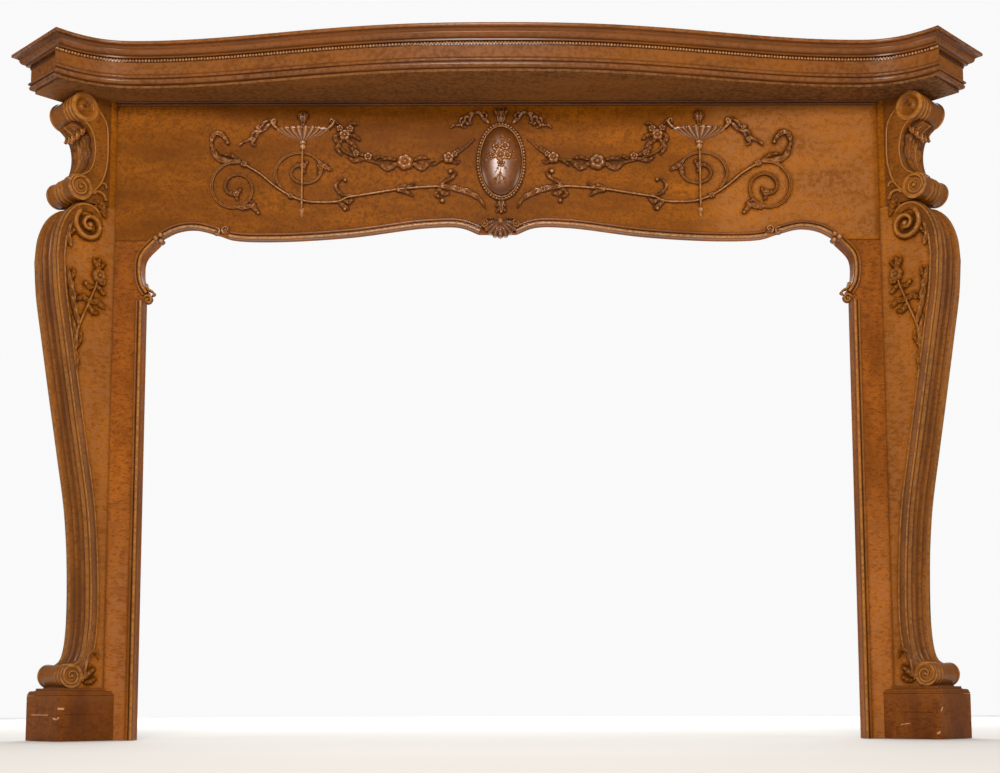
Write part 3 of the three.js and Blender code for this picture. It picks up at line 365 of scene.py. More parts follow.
class Carving:
    """Closed bodies gathered into one mesh, most of them carved on a face."""

    def __init__(self, side: Side = Side.LEFT, aside: float = 0.0) -> None:
        """Starts an empty carving.

        Args:
            side: the half that it stands in; on the right its bodies are mirrored.
            aside: how far it is set to the right of its measured place.
        """
        self.mirror = np.array([-1.0 if side is Side.RIGHT else 1.0, 1.0, 1.0])
        self.aside = np.array([aside, 0.0, 0.0])
        self.face: Face = board_face
        self.points: list[np.ndarray] = []
        self.relief: list[np.ndarray] = []
        self.corners: list[np.ndarray] = []
        self.lengths: list[np.ndarray] = []
        self.finishes: list[np.ndarray] = []
        self.count = 0

    def add(
        self, rings: np.ndarray, relief: np.ndarray | float = 1.0, joined: bool = False, finish: int = 0
    ) -> None:
        """Adds a body that runs through closed rings of points.

        Quads join each ring to the next. Unless the rings close on themselves, the first and the
        last ring get a flat cap. The sign of the enclosed volume says whether the faces turn out.

        Args:
            rings: array of rings by points by x, y and z.
            relief: how far each point stands out of the ground, from 0 to 1, which the finish turns into
                painted shade with old polish where low and a painted highlight with worn wood where high.
            joined: whether the last ring runs on into the first.
            finish: which of the carving's finishes the body gets.
        """
        rows, columns = rings.shape[:2]
        index = np.arange(rows * columns).reshape(rows, columns)
        near = index if joined else index[:-1]
        far = np.roll(index, -1, axis=0) if joined else index[1:]
        turn = (np.roll(near, -1, axis=1), np.roll(far, -1, axis=1))
        quads = np.stack([near, turn[0], turn[1], far], axis=-1).reshape(-1, 4)
        caps = [] if joined else [index[0, ::-1], index[-1]]
        flat = rings.reshape(-1, 3) * self.mirror + self.aside
        local = flat - flat.mean(axis=0)
        a, b, c, d = (local[quads[:, k]] for k in range(4))
        volume = np.sum(a * np.cross(b, c)) + np.sum(a * np.cross(c, d))
        for cap in caps:
            fan = local[cap]
            volume += np.sum(fan[0] * np.cross(fan[1:-1], fan[2:]))
        if volume < 0:
            quads = quads[:, ::-1]
            caps = [cap[::-1] for cap in caps]
        self.points.append(flat)
        self.relief.append(np.broadcast_to(relief, (rows, columns)).ravel())
        self.corners.append(np.concatenate([quads.ravel(), *caps]) + self.count)
        self.lengths.append(np.array([4] * len(quads) + [len(cap) for cap in caps]))
        self.finishes.append(np.full(len(quads) + len(caps), finish))
        self.count += rows * columns

    def on(self, face: Face) -> "Carving":
        """The same carving, now at work on another face."""
        self.face = face
        return self

    def stroke(
        self, path: np.ndarray, width: float | tuple, rise: float, section: Section = Section.ROUND,
        lobes: float = 3.0, sink: float = 0.8, columns: int = 11
    ) -> None:
        """Adds a carved stroke that follows a path over the face.

        The point at share s and place t is the path's point, moved t half widths along its normal and
        lifted by the section's height. A leaf is narrow at its root, full at a third of its length and
        notched between its lobes, which lean forward by a share of their width. The other sections
        are rounded off at both ends.

        Args:
            path: pairs on the face.
            width: full width, or the widths at the start and at the end.
            rise: greatest height over the face.
            section: the kind of stroke.
            lobes: how many lobes or folds the stroke has.
            sink: how far its underside lies below the face.
            columns: how many points run across it.
        """
        s = np.linspace(0.0, 1.0, len(path))[:, None]
        t = np.linspace(-1.0, 1.0, columns)[None, :]
        ends = width if isinstance(width, tuple) else (width, width)
        half = (ends[0] + (ends[1] - ends[0]) * s) / 2
        slope = np.gradient(path, axis=0)
        along = slope / np.maximum(np.linalg.norm(slope, axis=1, keepdims=True), 1e-9)
        normals = left_normals(path)
        lean = np.zeros_like(s * t)
        if section is Section.LEAF:
            full = 0.22 + 0.78 * np.sin(math.pi * np.clip(0.14 + 0.86 * s, 0, 0.985))
            notch = np.abs(np.sin(math.pi * lobes * s)) ** 0.6
            half = half * full * (0.74 + 0.26 * notch)
            lean = np.abs(t) ** 1.4 * half * 0.55
            lift = rise * (0.5 + 0.5 * full)
        else:
            end = np.minimum(s, 1 - s) * len(path) / 3
            round_off = np.sqrt(np.clip(end + 0.04, 0, 1))
            half = half * round_off
            lift = rise * round_off
        a = path[:, :1] + normals[:, :1] * t * half + along[:, :1] * lean
        b = path[:, 1:] + normals[:, 1:] * t * half + along[:, 1:] * lean
        height = section_height(section, s, t, lobes)
        up = lift * height
        a = np.concatenate([a, a[:, -1:], a[:, :1]], axis=1)
        b = np.concatenate([b, b[:, -1:], b[:, :1]], axis=1)
        under = np.full((len(path), 2), -sink)
        shown = height * 1.3 if section is Section.LEAF else height
        relief = np.concatenate([shown, 0 * under], axis=1)
        self.add(self.face(a, b, np.concatenate([up, under], axis=1)), np.clip(relief, 0, 1))

    def bloom(
        self, centre: tuple, radius: float, petals: int, rise: float, base: float = 0.0, turn: float = 0.3
    ) -> None:
        """Adds a flower, or a ball if it has no petals.

        The rim swings in between the petals. Along a radius a petal rises to a lip at two thirds, falls
        to the eye and rises again to a round heart. Furrows part the petals.

        Args:
            centre: its place on the face.
            radius: reach of the petals.
            petals: how many petals there are.
            rise: height over the base.
            base: height of the ground under it over the face.
            turn: angle of the first petal, in radians.
        """
        columns = max(20, petals * 7)
        angle = np.linspace(0, 2 * math.pi, columns, endpoint=False)[None, :]
        r = np.concatenate([[1.0], np.linspace(1.0, 0.03, 12)])[:, None]
        if petals:
            wave = np.abs(np.cos(petals * (angle - turn) / 2))
            rim = 0.8 + 0.2 * wave**0.5
            lip = 0.45 + 0.4 * np.sin(math.pi * np.clip((r - 0.22) / 0.9, 0, 1)) - 0.25 * r**6
            furrow = np.exp(-((wave / 0.22) ** 2)) * np.clip(r - 0.2, 0, 1) * 0.4
            heart = 0.5 * np.sqrt(np.clip(1 - (r / 0.26) ** 2, 0, 1))
            height = lip - furrow + heart
        else:
            rim = np.ones_like(angle)
            height = np.sqrt(np.clip(1 - r**2, 0, 1)) + 0 * angle
        a = centre[0] + radius * r * rim * np.cos(angle)
        b = centre[1] + radius * r * rim * np.sin(angle)
        up = base + rise * height
        up[0] = base - 1.0
        relief = np.clip(height, 0, 1) + 0 * angle
        self.add(self.face(a, b, up), relief)

    def half_turning(self, x: float, stations: list, flutes: int = 0, flat: float = 0.8) -> None:
        """Adds half of a turned body that lies on the face, upright.

        Each ring is half an ellipse closed along its back. Flutes are hollows worked in all round it.

        Args:
            x: place of its axis.
            stations: heights and radii.
            flutes: how many flutes there are in the half that shows.
            flat: depth of the body as a share of its radius.
        """
        columns = max(15, flutes * 6 + 1)
        angle = np.linspace(0, math.pi, columns)[None, :]
        z = np.array([[station[0]] for station in stations], float)
        radius = np.array([[station[1]] for station in stations], float)
        hollow = 0.5 - 0.5 * np.cos(2 * flutes * angle) if flutes else 0 * angle
        r = radius * (1 - 0.12 * hollow)
        a = x + r * np.cos(angle)
        up = flat * r * np.sin(angle) - 0.5
        self.add(self.face(a, z + 0 * angle, up), np.clip(1 - hollow + 0 * radius, 0.1, 1))

    def moulding(self, path: np.ndarray, profile: np.ndarray) -> None:
        """Adds a profile carried along a path on the face.

        Args:
            path: pairs on the face.
            profile: pairs of distance to the path's left and height over the face, closed on itself.
        """
        normals = left_normals(path)
        a = path[:, :1] + normals[:, :1] * profile[:, 0]
        b = path[:, 1:] + normals[:, 1:] * profile[:, 0]
        up = profile[:, 1][None, :] + 0 * a
        self.add(self.face(a, b, up), np.clip(up / max(profile[:, 1].max(), 1e-6), 0, 1))

    def leaves(self, table: list, count: int, swell: float, rise: float) -> None:
        """Adds a leaf for every row of a table.

        Args:
            table: rows of the points of a middle line, a width and, unless it is three, the lobes.
            count: how many points a middle line gets.
            swell: what the widths are multiplied by.
            rise: greatest height over the face.
        """
        for points, width, *lobes in table:
            self.stroke(curve(points, count), width * swell, rise, Section.LEAF, *lobes)

    def settle(
        self, node: str, slot: str, *finishes: bpy.types.Material, edge_degrees: float = 38.0
    ) -> np.ndarray:
        """Puts the gathered bodies into one mesh object and ties it to the frame.

        Args:
            node: the solid that the object stands for.
            slot: the record's material slot; not used.
            finishes: materials, in the order of the bodies' finish numbers.
            edge_degrees: faces that meet at a larger angle keep a sharp edge.

        Returns:
            All points of the bodies.
        """
        name = f"shown_{node}"
        mesh = bpy.data.meshes.new(name)
        corners = np.concatenate(self.corners)
        lengths = np.concatenate(self.lengths)
        mesh.vertices.add(self.count)
        mesh.loops.add(len(corners))
        mesh.polygons.add(len(lengths))
        points = np.concatenate(self.points)
        mesh.vertices.foreach_set("co", LAYOUT.to_frame(points).astype(np.float32).ravel())
        mesh.loops.foreach_set("vertex_index", corners.astype(np.int32))
        starts = np.concatenate([[0], np.cumsum(lengths)[:-1]])
        mesh.polygons.foreach_set("loop_start", starts.astype(np.int32))
        mesh.polygons.foreach_set("material_index", np.concatenate(self.finishes).astype(np.int32))
        relief = mesh.attributes.new("relief", "FLOAT", "POINT")
        relief.data.foreach_set("value", np.concatenate(self.relief).astype(np.float32))
        mesh.update(calc_edges=True)
        mesh.validate()
        mesh.shade_smooth()
        mesh.set_sharp_from_angle(angle=math.radians(edge_degrees))
        for finish in finishes:
            mesh.materials.append(finish)
        shown = bpy.data.objects.new(name, mesh)
        bpy.context.scene.collection.objects.link(shown)
        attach(shown, "root")
        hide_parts(node)
        LOG.info("%s: %d faces", node, len(lengths))
        return points


# Finishes


def linear(colour: str) -> tuple:
    """A colour given as sRGB hex, in linear values with an alpha of 1.

    Args:
        colour: the hex, with its hash.

    Returns:
        Red, green, blue and alpha.
    """
    parts = [int(colour[i : i + 2], 16) / 255 for i in (1, 3, 5)]
    return tuple(c / 12.92 if c <= 0.04045 else ((c + 0.055) / 1.055) ** 2.4 for c in parts) + (1.0,)


def add_node(
    tree: bpy.types.NodeTree, kind: str, inputs: dict | None = None, **settings: object
) -> bpy.types.Node:
    """Adds a node to a material.

    Args:
        tree: the material's tree.
        kind: the node's type name.
        inputs: sockets by name or number, with a value or a socket to link from.
        settings: properties of the node.

    Returns:
        The node.
    """
    node = tree.nodes.new(kind)
    for name, value in settings.items():
        setattr(node, name, value)
    for key, value in (inputs or {}).items():
        if isinstance(value, bpy.types.NodeSocket):
            tree.links.new(value, node.inputs[key])
        else:
            node.inputs[key].default_value = value
    return node


@dataclass(frozen=True)
class Mixture:
    """A material's tree and the steps that a finish is mixed by. Each step returns a socket."""

    tree: bpy.types.NodeTree

    def scaled(self, place: Socket, scale: tuple) -> Socket:
        """A place scaled along each axis."""
        inputs = {0: place, 1: scale}
        return add_node(self.tree, "ShaderNodeVectorMath", inputs, operation="MULTIPLY").outputs[0]

    def noise(self, place: Socket, size: float, detail: float, rough: float) -> Socket:
        """A noise whose features are size millimetres wide."""
        inputs = {"Vector": place, "Scale": 1 / (size * MM), "Detail": detail, "Roughness": rough}
        return add_node(self.tree, "ShaderNodeTexNoise", inputs).outputs[0]

    def spread(self, value: Socket, low: float, high: float, first: float, last: float) -> Socket:
        """A value carried smoothly from the range low to high to the range first to last."""
        inputs = {"Value": value, 1: low, 2: high, 3: first, 4: last}
        return add_node(self.tree, "ShaderNodeMapRange", inputs, interpolation_type="SMOOTHSTEP").outputs[0]

    def times(self, first: Socket, second: Socket) -> Socket:
        """The product of two values."""
        return add_node(self.tree, "ShaderNodeMath", {0: first, 1: second}, operation="MULTIPLY").outputs[0]

    def tint(self, colour: Socket, over: str, share: Socket) -> Socket:
        """A colour covered by another for a share."""
        inputs = {"Factor": share, 6: colour, 7: linear(over)}
        return add_node(self.tree, "ShaderNodeMix", inputs, data_type="RGBA").outputs[2]

    def ramp(self, value: Socket, low: tuple, high: tuple) -> Socket:
        """A colour ramp between two stops.

        Args:
            value: what the ramp follows.
            low: place and colour of the first stop.
            high: place and colour of the last one.

        Returns:
            The colour.
        """
        node = add_node(self.tree, "ShaderNodeValToRGB", {0: value})
        for stop, (place, colour) in zip(node.color_ramp.elements, (low, high)):
            stop.position = place
            stop.color = linear(colour)
        return node.outputs[0]


@dataclass(frozen=True)
class MapleFinish:
    """Varnished maple, figured with bird's eyes.

    Colours are sRGB hex; the figure's sizes are in millimetres. grime is old polish and dust in the low
    places and the shade painted there, edge the paler worn wood and the highlight painted on the high places.
    """

    name: str
    light: str
    dark: str
    eye: str = "#5C2E0A"
    # Colour of old polish and dust in the low places, also laid there as painted shade
    shade_and_grime: str = "#3A1A08"
    # Paler worn wood on the high places, which also serves as a painted highlight
    edge: str = "#C98A55"
    chip: str = "#D2A074"
    grain: Grain = Grain.ACROSS
    cloud: float = 70.0
    curl: float = 8.0
    dash: float = 4.0
    eyes: float = 11.0
    eye_share: float = 0.7
    figure: float = 0.6
    fleck: float = 0.6
    # Share of the painted shade and old polish where the relief is lowest
    recess: float = 0.85
    # Share of that pale colour on the highest places: worn wood and painted highlight
    wear_and_highlight: float = 0.3
    roughness: float = 0.5
    gloss: float = 0.1
    varnish: float = 0.0

    def material(self) -> bpy.types.Material:
        """Mixes the finish.

        Slow clouds mix the light and the dark wood, a fine curl ripples over them, short dashes and
        small dots are the bird's eyes, and the relief attribute paints shade, with old polish, into the low
        places, a highlight, with paler worn wood, onto the high ones and bare wood where it passes 1.

        Returns:
            The material.
        """
        made = bpy.data.materials.new(self.name)
        made.use_nodes = True
        tree = made.node_tree
        tree.nodes.clear()
        mix = Mixture(tree)
        place = add_node(tree, "ShaderNodeTexCoord").outputs["Object"]
        drawn, dashed = (mix.scaled(place, scale) for scale in self.grain.value)
        cloud = mix.noise(drawn, self.cloud, 4.0, 0.6)
        blotch = mix.noise(drawn, self.cloud * 0.3, 3.0, 0.6)
        curl = mix.noise(dashed, self.curl, 3.0, 0.62)
        dash = mix.noise(dashed, self.dash, 2.0, 0.6)
        colour = mix.ramp(cloud, (0.34, self.dark), (0.64, self.light))
        colour = mix.tint(colour, self.dark, mix.spread(blotch, 0.5, 0.7, 0.0, 0.35))
        colour = mix.tint(colour, self.dark, mix.spread(curl, 0.48, 0.62, 0.0, self.figure))
        colour = mix.tint(colour, self.eye, mix.spread(dash, 0.5, 0.66, 0.0, self.fleck))
        cells = {"Vector": dashed, "Scale": 1 / (self.eyes * MM)}
        dots = add_node(tree, "ShaderNodeTexVoronoi", cells).outputs["Distance"]
        dot = mix.spread(dots, 0.06, 0.24, self.eye_share, 0.0)
        patch = mix.spread(blotch, 0.42, 0.56, 0.15, 1.0)
        colour = mix.tint(colour, self.eye, mix.times(dot, patch))
        kept = {"attribute_name": "relief", "attribute_type": "GEOMETRY"}
        relief = add_node(tree, "ShaderNodeAttribute", **kept).outputs["Fac"]
        # Painted shade: the lower the relief, the more the wood darkens towards the grime colour
        colour = mix.tint(colour, self.shade_and_grime, mix.spread(relief, 0.0, 0.55, self.recess, 0.0))
        # Painted highlight: high relief is paled with the edge colour, together with worn wood
        high = mix.spread(relief, 0.66, 1.0, 0.0, self.wear_and_highlight)
        colour = mix.tint(colour, self.edge, mix.times(high, mix.spread(curl, 0.4, 0.6, 0.3, 1.0)))
        colour = mix.tint(colour, self.chip, mix.spread(relief, 1.05, 1.3, 0.0, 1.0))
        ripple = {"Strength": 0.12, "Distance": 0.0006, "Height": curl}
        surface = {
            "Base Color": colour, "Roughness": self.roughness, "Specular IOR Level": self.gloss,
            "Coat Weight": self.varnish, "Coat Roughness": 0.16,
            "Normal": add_node(tree, "ShaderNodeBump", ripple).outputs[0],
        }
        shader = add_node(tree, "ShaderNodeBsdfPrincipled", surface)
        add_node(tree, "ShaderNodeOutputMaterial", {"Surface": shader.outputs[0]})
        made.diffuse_color = linear(self.light)
        return made


@dataclass
class Finishes:
    """The mantel's finishes, mixed once each."""

    shelf: bpy.types.Material = field(init=False)
    crown: bpy.types.Material = field(init=False)
    frieze: bpy.types.Material = field(init=False)
    leg: bpy.types.Material = field(init=False)
    jamb: bpy.types.Material = field(init=False)
    carving: bpy.types.Material = field(init=False)
    upright: bpy.types.Material = field(init=False)
    soffit: bpy.types.Material = field(init=False)
    plinth: bpy.types.Material = field(init=False)

    def __post_init__(self) -> None:
        """Mixes every finish."""
        # Every finish darkens low relief with painted shade and pales high relief with a painted highlight
        # Clear honey varnish over plain maple, with a soft sheen along the mouldings
        self.shelf = MapleFinish(
            "varnished_maple_shelf", "#864A08", "#603004", eye_share=0.1, fleck=0.4, recess=0.8,
            wear_and_highlight=0.35, roughness=0.42, gloss=0.08
        ).material()
        # The same wood with more varnish, so the rounds of the mouldings catch pale lights
        self.crown = MapleFinish(
            "varnished_maple_mouldings", "#7C4208", "#542A03", eye_share=0.1, fleck=0.4, recess=0.9,
            wear_and_highlight=0.3, roughness=0.28, gloss=0.24, varnish=0.1
        ).material()
        # Amber veneer, cloudy and peppered with dark eyes
        self.frieze = MapleFinish(
            "varnished_birds_eye_maple", "#A45E0E", "#7C4408", figure=0.75, fleck=0.5, dash=3.2,
            eyes=8.0, eye_share=0.45, recess=0.8, gloss=0.06
        ).material()
        # The same veneer with its grain upright
        self.leg = MapleFinish(
            "birds_eye_maple_on_legs", "#AA6214", "#80450A", grain=Grain.UPRIGHT, eye_share=0.35,
            dash=3.4, gloss=0.06
        ).material()
        # Redder maple on the flat jambs
        self.jamb = MapleFinish(
            "reddish_maple_jambs", "#AA601C", "#804410", grain=Grain.UPRIGHT, eye_share=0.3, fleck=0.6,
            dash=3.4, gloss=0.06
        ).material()
        # Carved maple: pinkish highlights on the crests, partly painted with the pale worn colour, and dark
        # polish with painted shade in the hollows
        self.carving = MapleFinish(
            "carved_maple", "#94551C", "#6A3A0C", edge="#DCA468", eye_share=0.0, fleck=0.2, curl=6.0,
            recess=0.9, wear_and_highlight=0.6, roughness=0.25, gloss=0.45, varnish=0.2
        ).material()
        # Carved maple with its grain upright
        self.upright = MapleFinish(
            "carved_maple_upright", "#985814", "#6C3C08", edge="#C88842", eye_share=0.0, fleck=0.35,
            grain=Grain.UPRIGHT, recess=0.9, wear_and_highlight=0.6, roughness=0.34, gloss=0.2, varnish=0.06
        ).material()
        # Plain stained board, streaked and nearly matt
        self.soffit = MapleFinish(
            "stained_soffit_board", "#7E4A14", "#3A200A", eye_share=0.0, fleck=0.3, cloud=150.0,
            roughness=0.55
        ).material()
        # Plain varnished blocks with a few knocks
        self.plinth = MapleFinish(
            "varnished_maple_plinth", "#86480C", "#602F05", eye_share=0.2, grain=Grain.UPRIGHT,
            gloss=0.15
        ).material()


# Shelf


@dataclass
class Cornice:
    """The bowed shelf with its mouldings, from the soffit board up to the crown."""

    finishes: Finishes
    hollow: float = 118.5
    hollow_offset: float = 790.0
    corner_x: float = 944.4
    corner_y: float = 189.1
    end_width: float = 199.2
    crown_inset: float = 26.0
    fascia_inset: float = 32.0
    bed_inset: float = 27.5
    soffit_inset: float = 39.5
    soffit_top: float = 1435.0
    bed_top: float = 1456.0
    fascia_top: float = 1491.3
    crown_bottom: float = 1491.6
    top: float = 1520.6
    pearl_pitch: float = 6.9
    pearl_radius: float = 2.9

    def front(self, x: np.ndarray) -> np.ndarray:
        """Front edge of the shelf.

        It is bowed at the middle by half a cosine wave, hollow before each end and flared to its
        corner by a power of the distance.

        Args:
            x: places along the wall.

        Returns:
            How far the edge stands in front of the boards, as negative y.
        """
        reach = np.abs(x)
        bow = (np.clip(reach / self.hollow_offset, 0, 1)) ** 1.25
        wave = (LAYOUT.shelf_bow - self.hollow) * (1 - np.cos(math.pi * bow)) / 2
        flare = np.clip((reach - self.hollow_offset) / (self.corner_x - self.hollow_offset), 0, 1)
        return -LAYOUT.shelf_bow + wave - (self.corner_y - self.hollow) * flare**2.4

    def lines(self, insets: np.ndarray) -> np.ndarray:
        """Plan outlines of the shelf, each stepped in by an inset and closed along the wall.

        Each edge is moved inwards and meets the next where the two moved edges cross.

        Args:
            insets: distances in from the outermost edge.

        Returns:
            Array of insets by points by x and y.
        """
        x = np.concatenate([np.linspace(-self.corner_x, -self.hollow_offset, 14)[:-1],
                            np.linspace(-self.hollow_offset, 0, 56)])
        half = np.stack([x, self.front(x)], axis=1)
        reach = math.cos(CANT) * self.end_width
        tip = np.array([-self.corner_x - reach, -self.corner_y + reach])
        far = tip + 500.0
        left = np.concatenate([[far], [tip], half])
        whole = np.concatenate([left, left[-2::-1] * [-1, 1]])
        edge = np.diff(whole, axis=0)
        normal = np.stack([-edge[:, 1], edge[:, 0]], axis=1)
        normal /= np.linalg.norm(normal, axis=1, keepdims=True)
        pair = normal[:-1] + normal[1:]
        scale = 1 / (1 + np.sum(normal[:-1] * normal[1:], axis=1, keepdims=True))
        moved = whole[None, 1:-1] + insets[:, None, None] * (pair * scale)[None]
        back = LAYOUT.board - moved[:, :1, 1:]
        start = np.concatenate([moved[:, :1, :1] + back, moved[:, :1, 1:] + back], axis=2)
        return np.concatenate([start, moved, start * [-1, 1]], axis=1)

    def slab(self, profile: np.ndarray) -> tuple[np.ndarray, np.ndarray]:
        """A board filling the shelf's plan, with a moulded edge.

        Args:
            profile: pairs of inset and height, from the underside up.

        Returns:
            The rings and their relief, which is low where the profile is hollow.
        """
        plan = self.lines(profile[:, 0])
        height = np.broadcast_to(profile[:, 1][:, None, None], plan.shape[:2] + (1,))
        depth = np.convolve(np.pad(profile[:, 0], 3, mode="edge"), np.ones(7) / 7, "valid")
        # Painted shade: the profile's hollows get low relief and darken, its rounds high relief and a painted
        # highlight
        relief = np.clip(0.8 - (profile[:, 0] - depth) * 0.22, 0.15, 1)
        return np.concatenate([plan, height], axis=2), relief[:, None] + 0 * plan[:, :, 0]

    def crown_profile(self) -> np.ndarray:
        """Crown from below: fillet, large round, cove and the top fillet with eased edges.

        Returns:
            Pairs of inset and height.
        """
        low = self.crown_bottom
        return np.concatenate([
            [[self.crown_inset, low], [self.crown_inset - 2.2, low + 0.2],
             [self.crown_inset - 2.6, low + 3.4]],
            arc_profile((22.6, low + 3.8), (12.4, low + 15.6), 0.2, 12),
            [[12.0, low + 16.2]],
            arc_profile((10.6, low + 16.6), (2.0, low + 21.6), -0.2, 8),
            [[0.5, low + 22.0], [0.0, low + 22.6], [0.0, self.top - 1.2], [0.4, self.top - 0.4],
             [1.2, self.top]],
        ])

    def bed_profile(self) -> np.ndarray:
        """Bed moulding from below: a large round, a groove and a small reed.

        Returns:
            Pairs of inset and height.
        """
        low = self.soffit_top + 0.3
        return np.concatenate([
            [[self.soffit_inset - 3, low]],
            arc_profile((self.soffit_inset - 4, low + 0.4), (self.bed_inset + 2.2, low + 9.4), 0.24, 10),
            [[self.bed_inset + 4.0, low + 10.0], [self.bed_inset + 4.2, low + 12.4]],
            arc_profile((self.bed_inset + 2.4, low + 12.8), (self.bed_inset + 2.0, low + 19.6), 0.34, 9),
            [[self.fascia_inset, self.bed_top - 0.2]],
        ])

    def pearls(self) -> Carving:
        """A thin reed with a row of turned pearls along the front.

        Each pearl is a ball: rings of a circle whose radius is the sine of the way round it.

        Returns:
            The carving.
        """
        carving = Carving()
        middle = self.crown_bottom - 0.3 - 3.5
        reed = np.array([[self.fascia_inset - 0.4, middle - 3.4], [self.crown_inset + 4.6, middle - 3.2],
                         [self.crown_inset + 4.2, middle], [self.crown_inset + 4.6, middle + 3.2],
                         [self.fascia_inset - 0.4, middle + 3.4]])
        plan = self.lines(reed[:, 0])
        height = np.broadcast_to(reed[:, 1][:, None, None], plan.shape[:2] + (1,))
        # Painted shade: the reed behind the pearls gets low relief and is darkened
        carving.add(np.concatenate([plan, height], axis=2), 0.1)
        line = self.lines(np.array([self.crown_inset + 3.2]))[0]
        front = line[2:-2]
        count = int(np.linalg.norm(np.diff(front, axis=0), axis=1).sum() / self.pearl_pitch)
        places = evenly(front, count)
        polar = np.radians(np.linspace(8, 172, 7))[:, None]
        round_ = np.linspace(0, 2 * math.pi, 10, endpoint=False)[None, :]
        ball = np.stack([np.sin(polar) * np.cos(round_), np.sin(polar) * np.sin(round_),
                         np.cos(polar) + 0 * round_], axis=-1) * self.pearl_radius
        for x, y in places:
            carving.add(ball + np.array([x, y, middle]))
        return carving

    def build(self) -> None:
        """Makes the five pieces of the cornice."""
        shelf = self.finishes.shelf
        slabs = {
            "mantelshelf": self.crown_profile(),
            "cornice_fascia": np.array([
                [self.fascia_inset + 1.2, self.bed_top + 0.3], [self.fascia_inset + 0.2, self.bed_top + 2.5],
                [self.fascia_inset, self.bed_top + 4], [self.fascia_inset, self.fascia_top],
            ]),
            "bed_moulding": self.bed_profile(),
        }
        for node, profile in slabs.items():
            carving = Carving()
            carving.add(*self.slab(profile))
            finish = shelf if node == "cornice_fascia" else self.finishes.crown
            carving.settle(node, "shelf", finish, edge_degrees=50)
        self.pearls().settle("pearl_strip", "shelf", self.finishes.carving)
        board = Carving()
        board.add(self.slab(np.array([
            [self.soffit_inset, LAYOUT.soffit_height], [self.soffit_inset, self.soffit_top - 0.3],
        ]))[0])
        board.settle("soffit_board", "soffit", self.finishes.soffit)


# Opening and boards


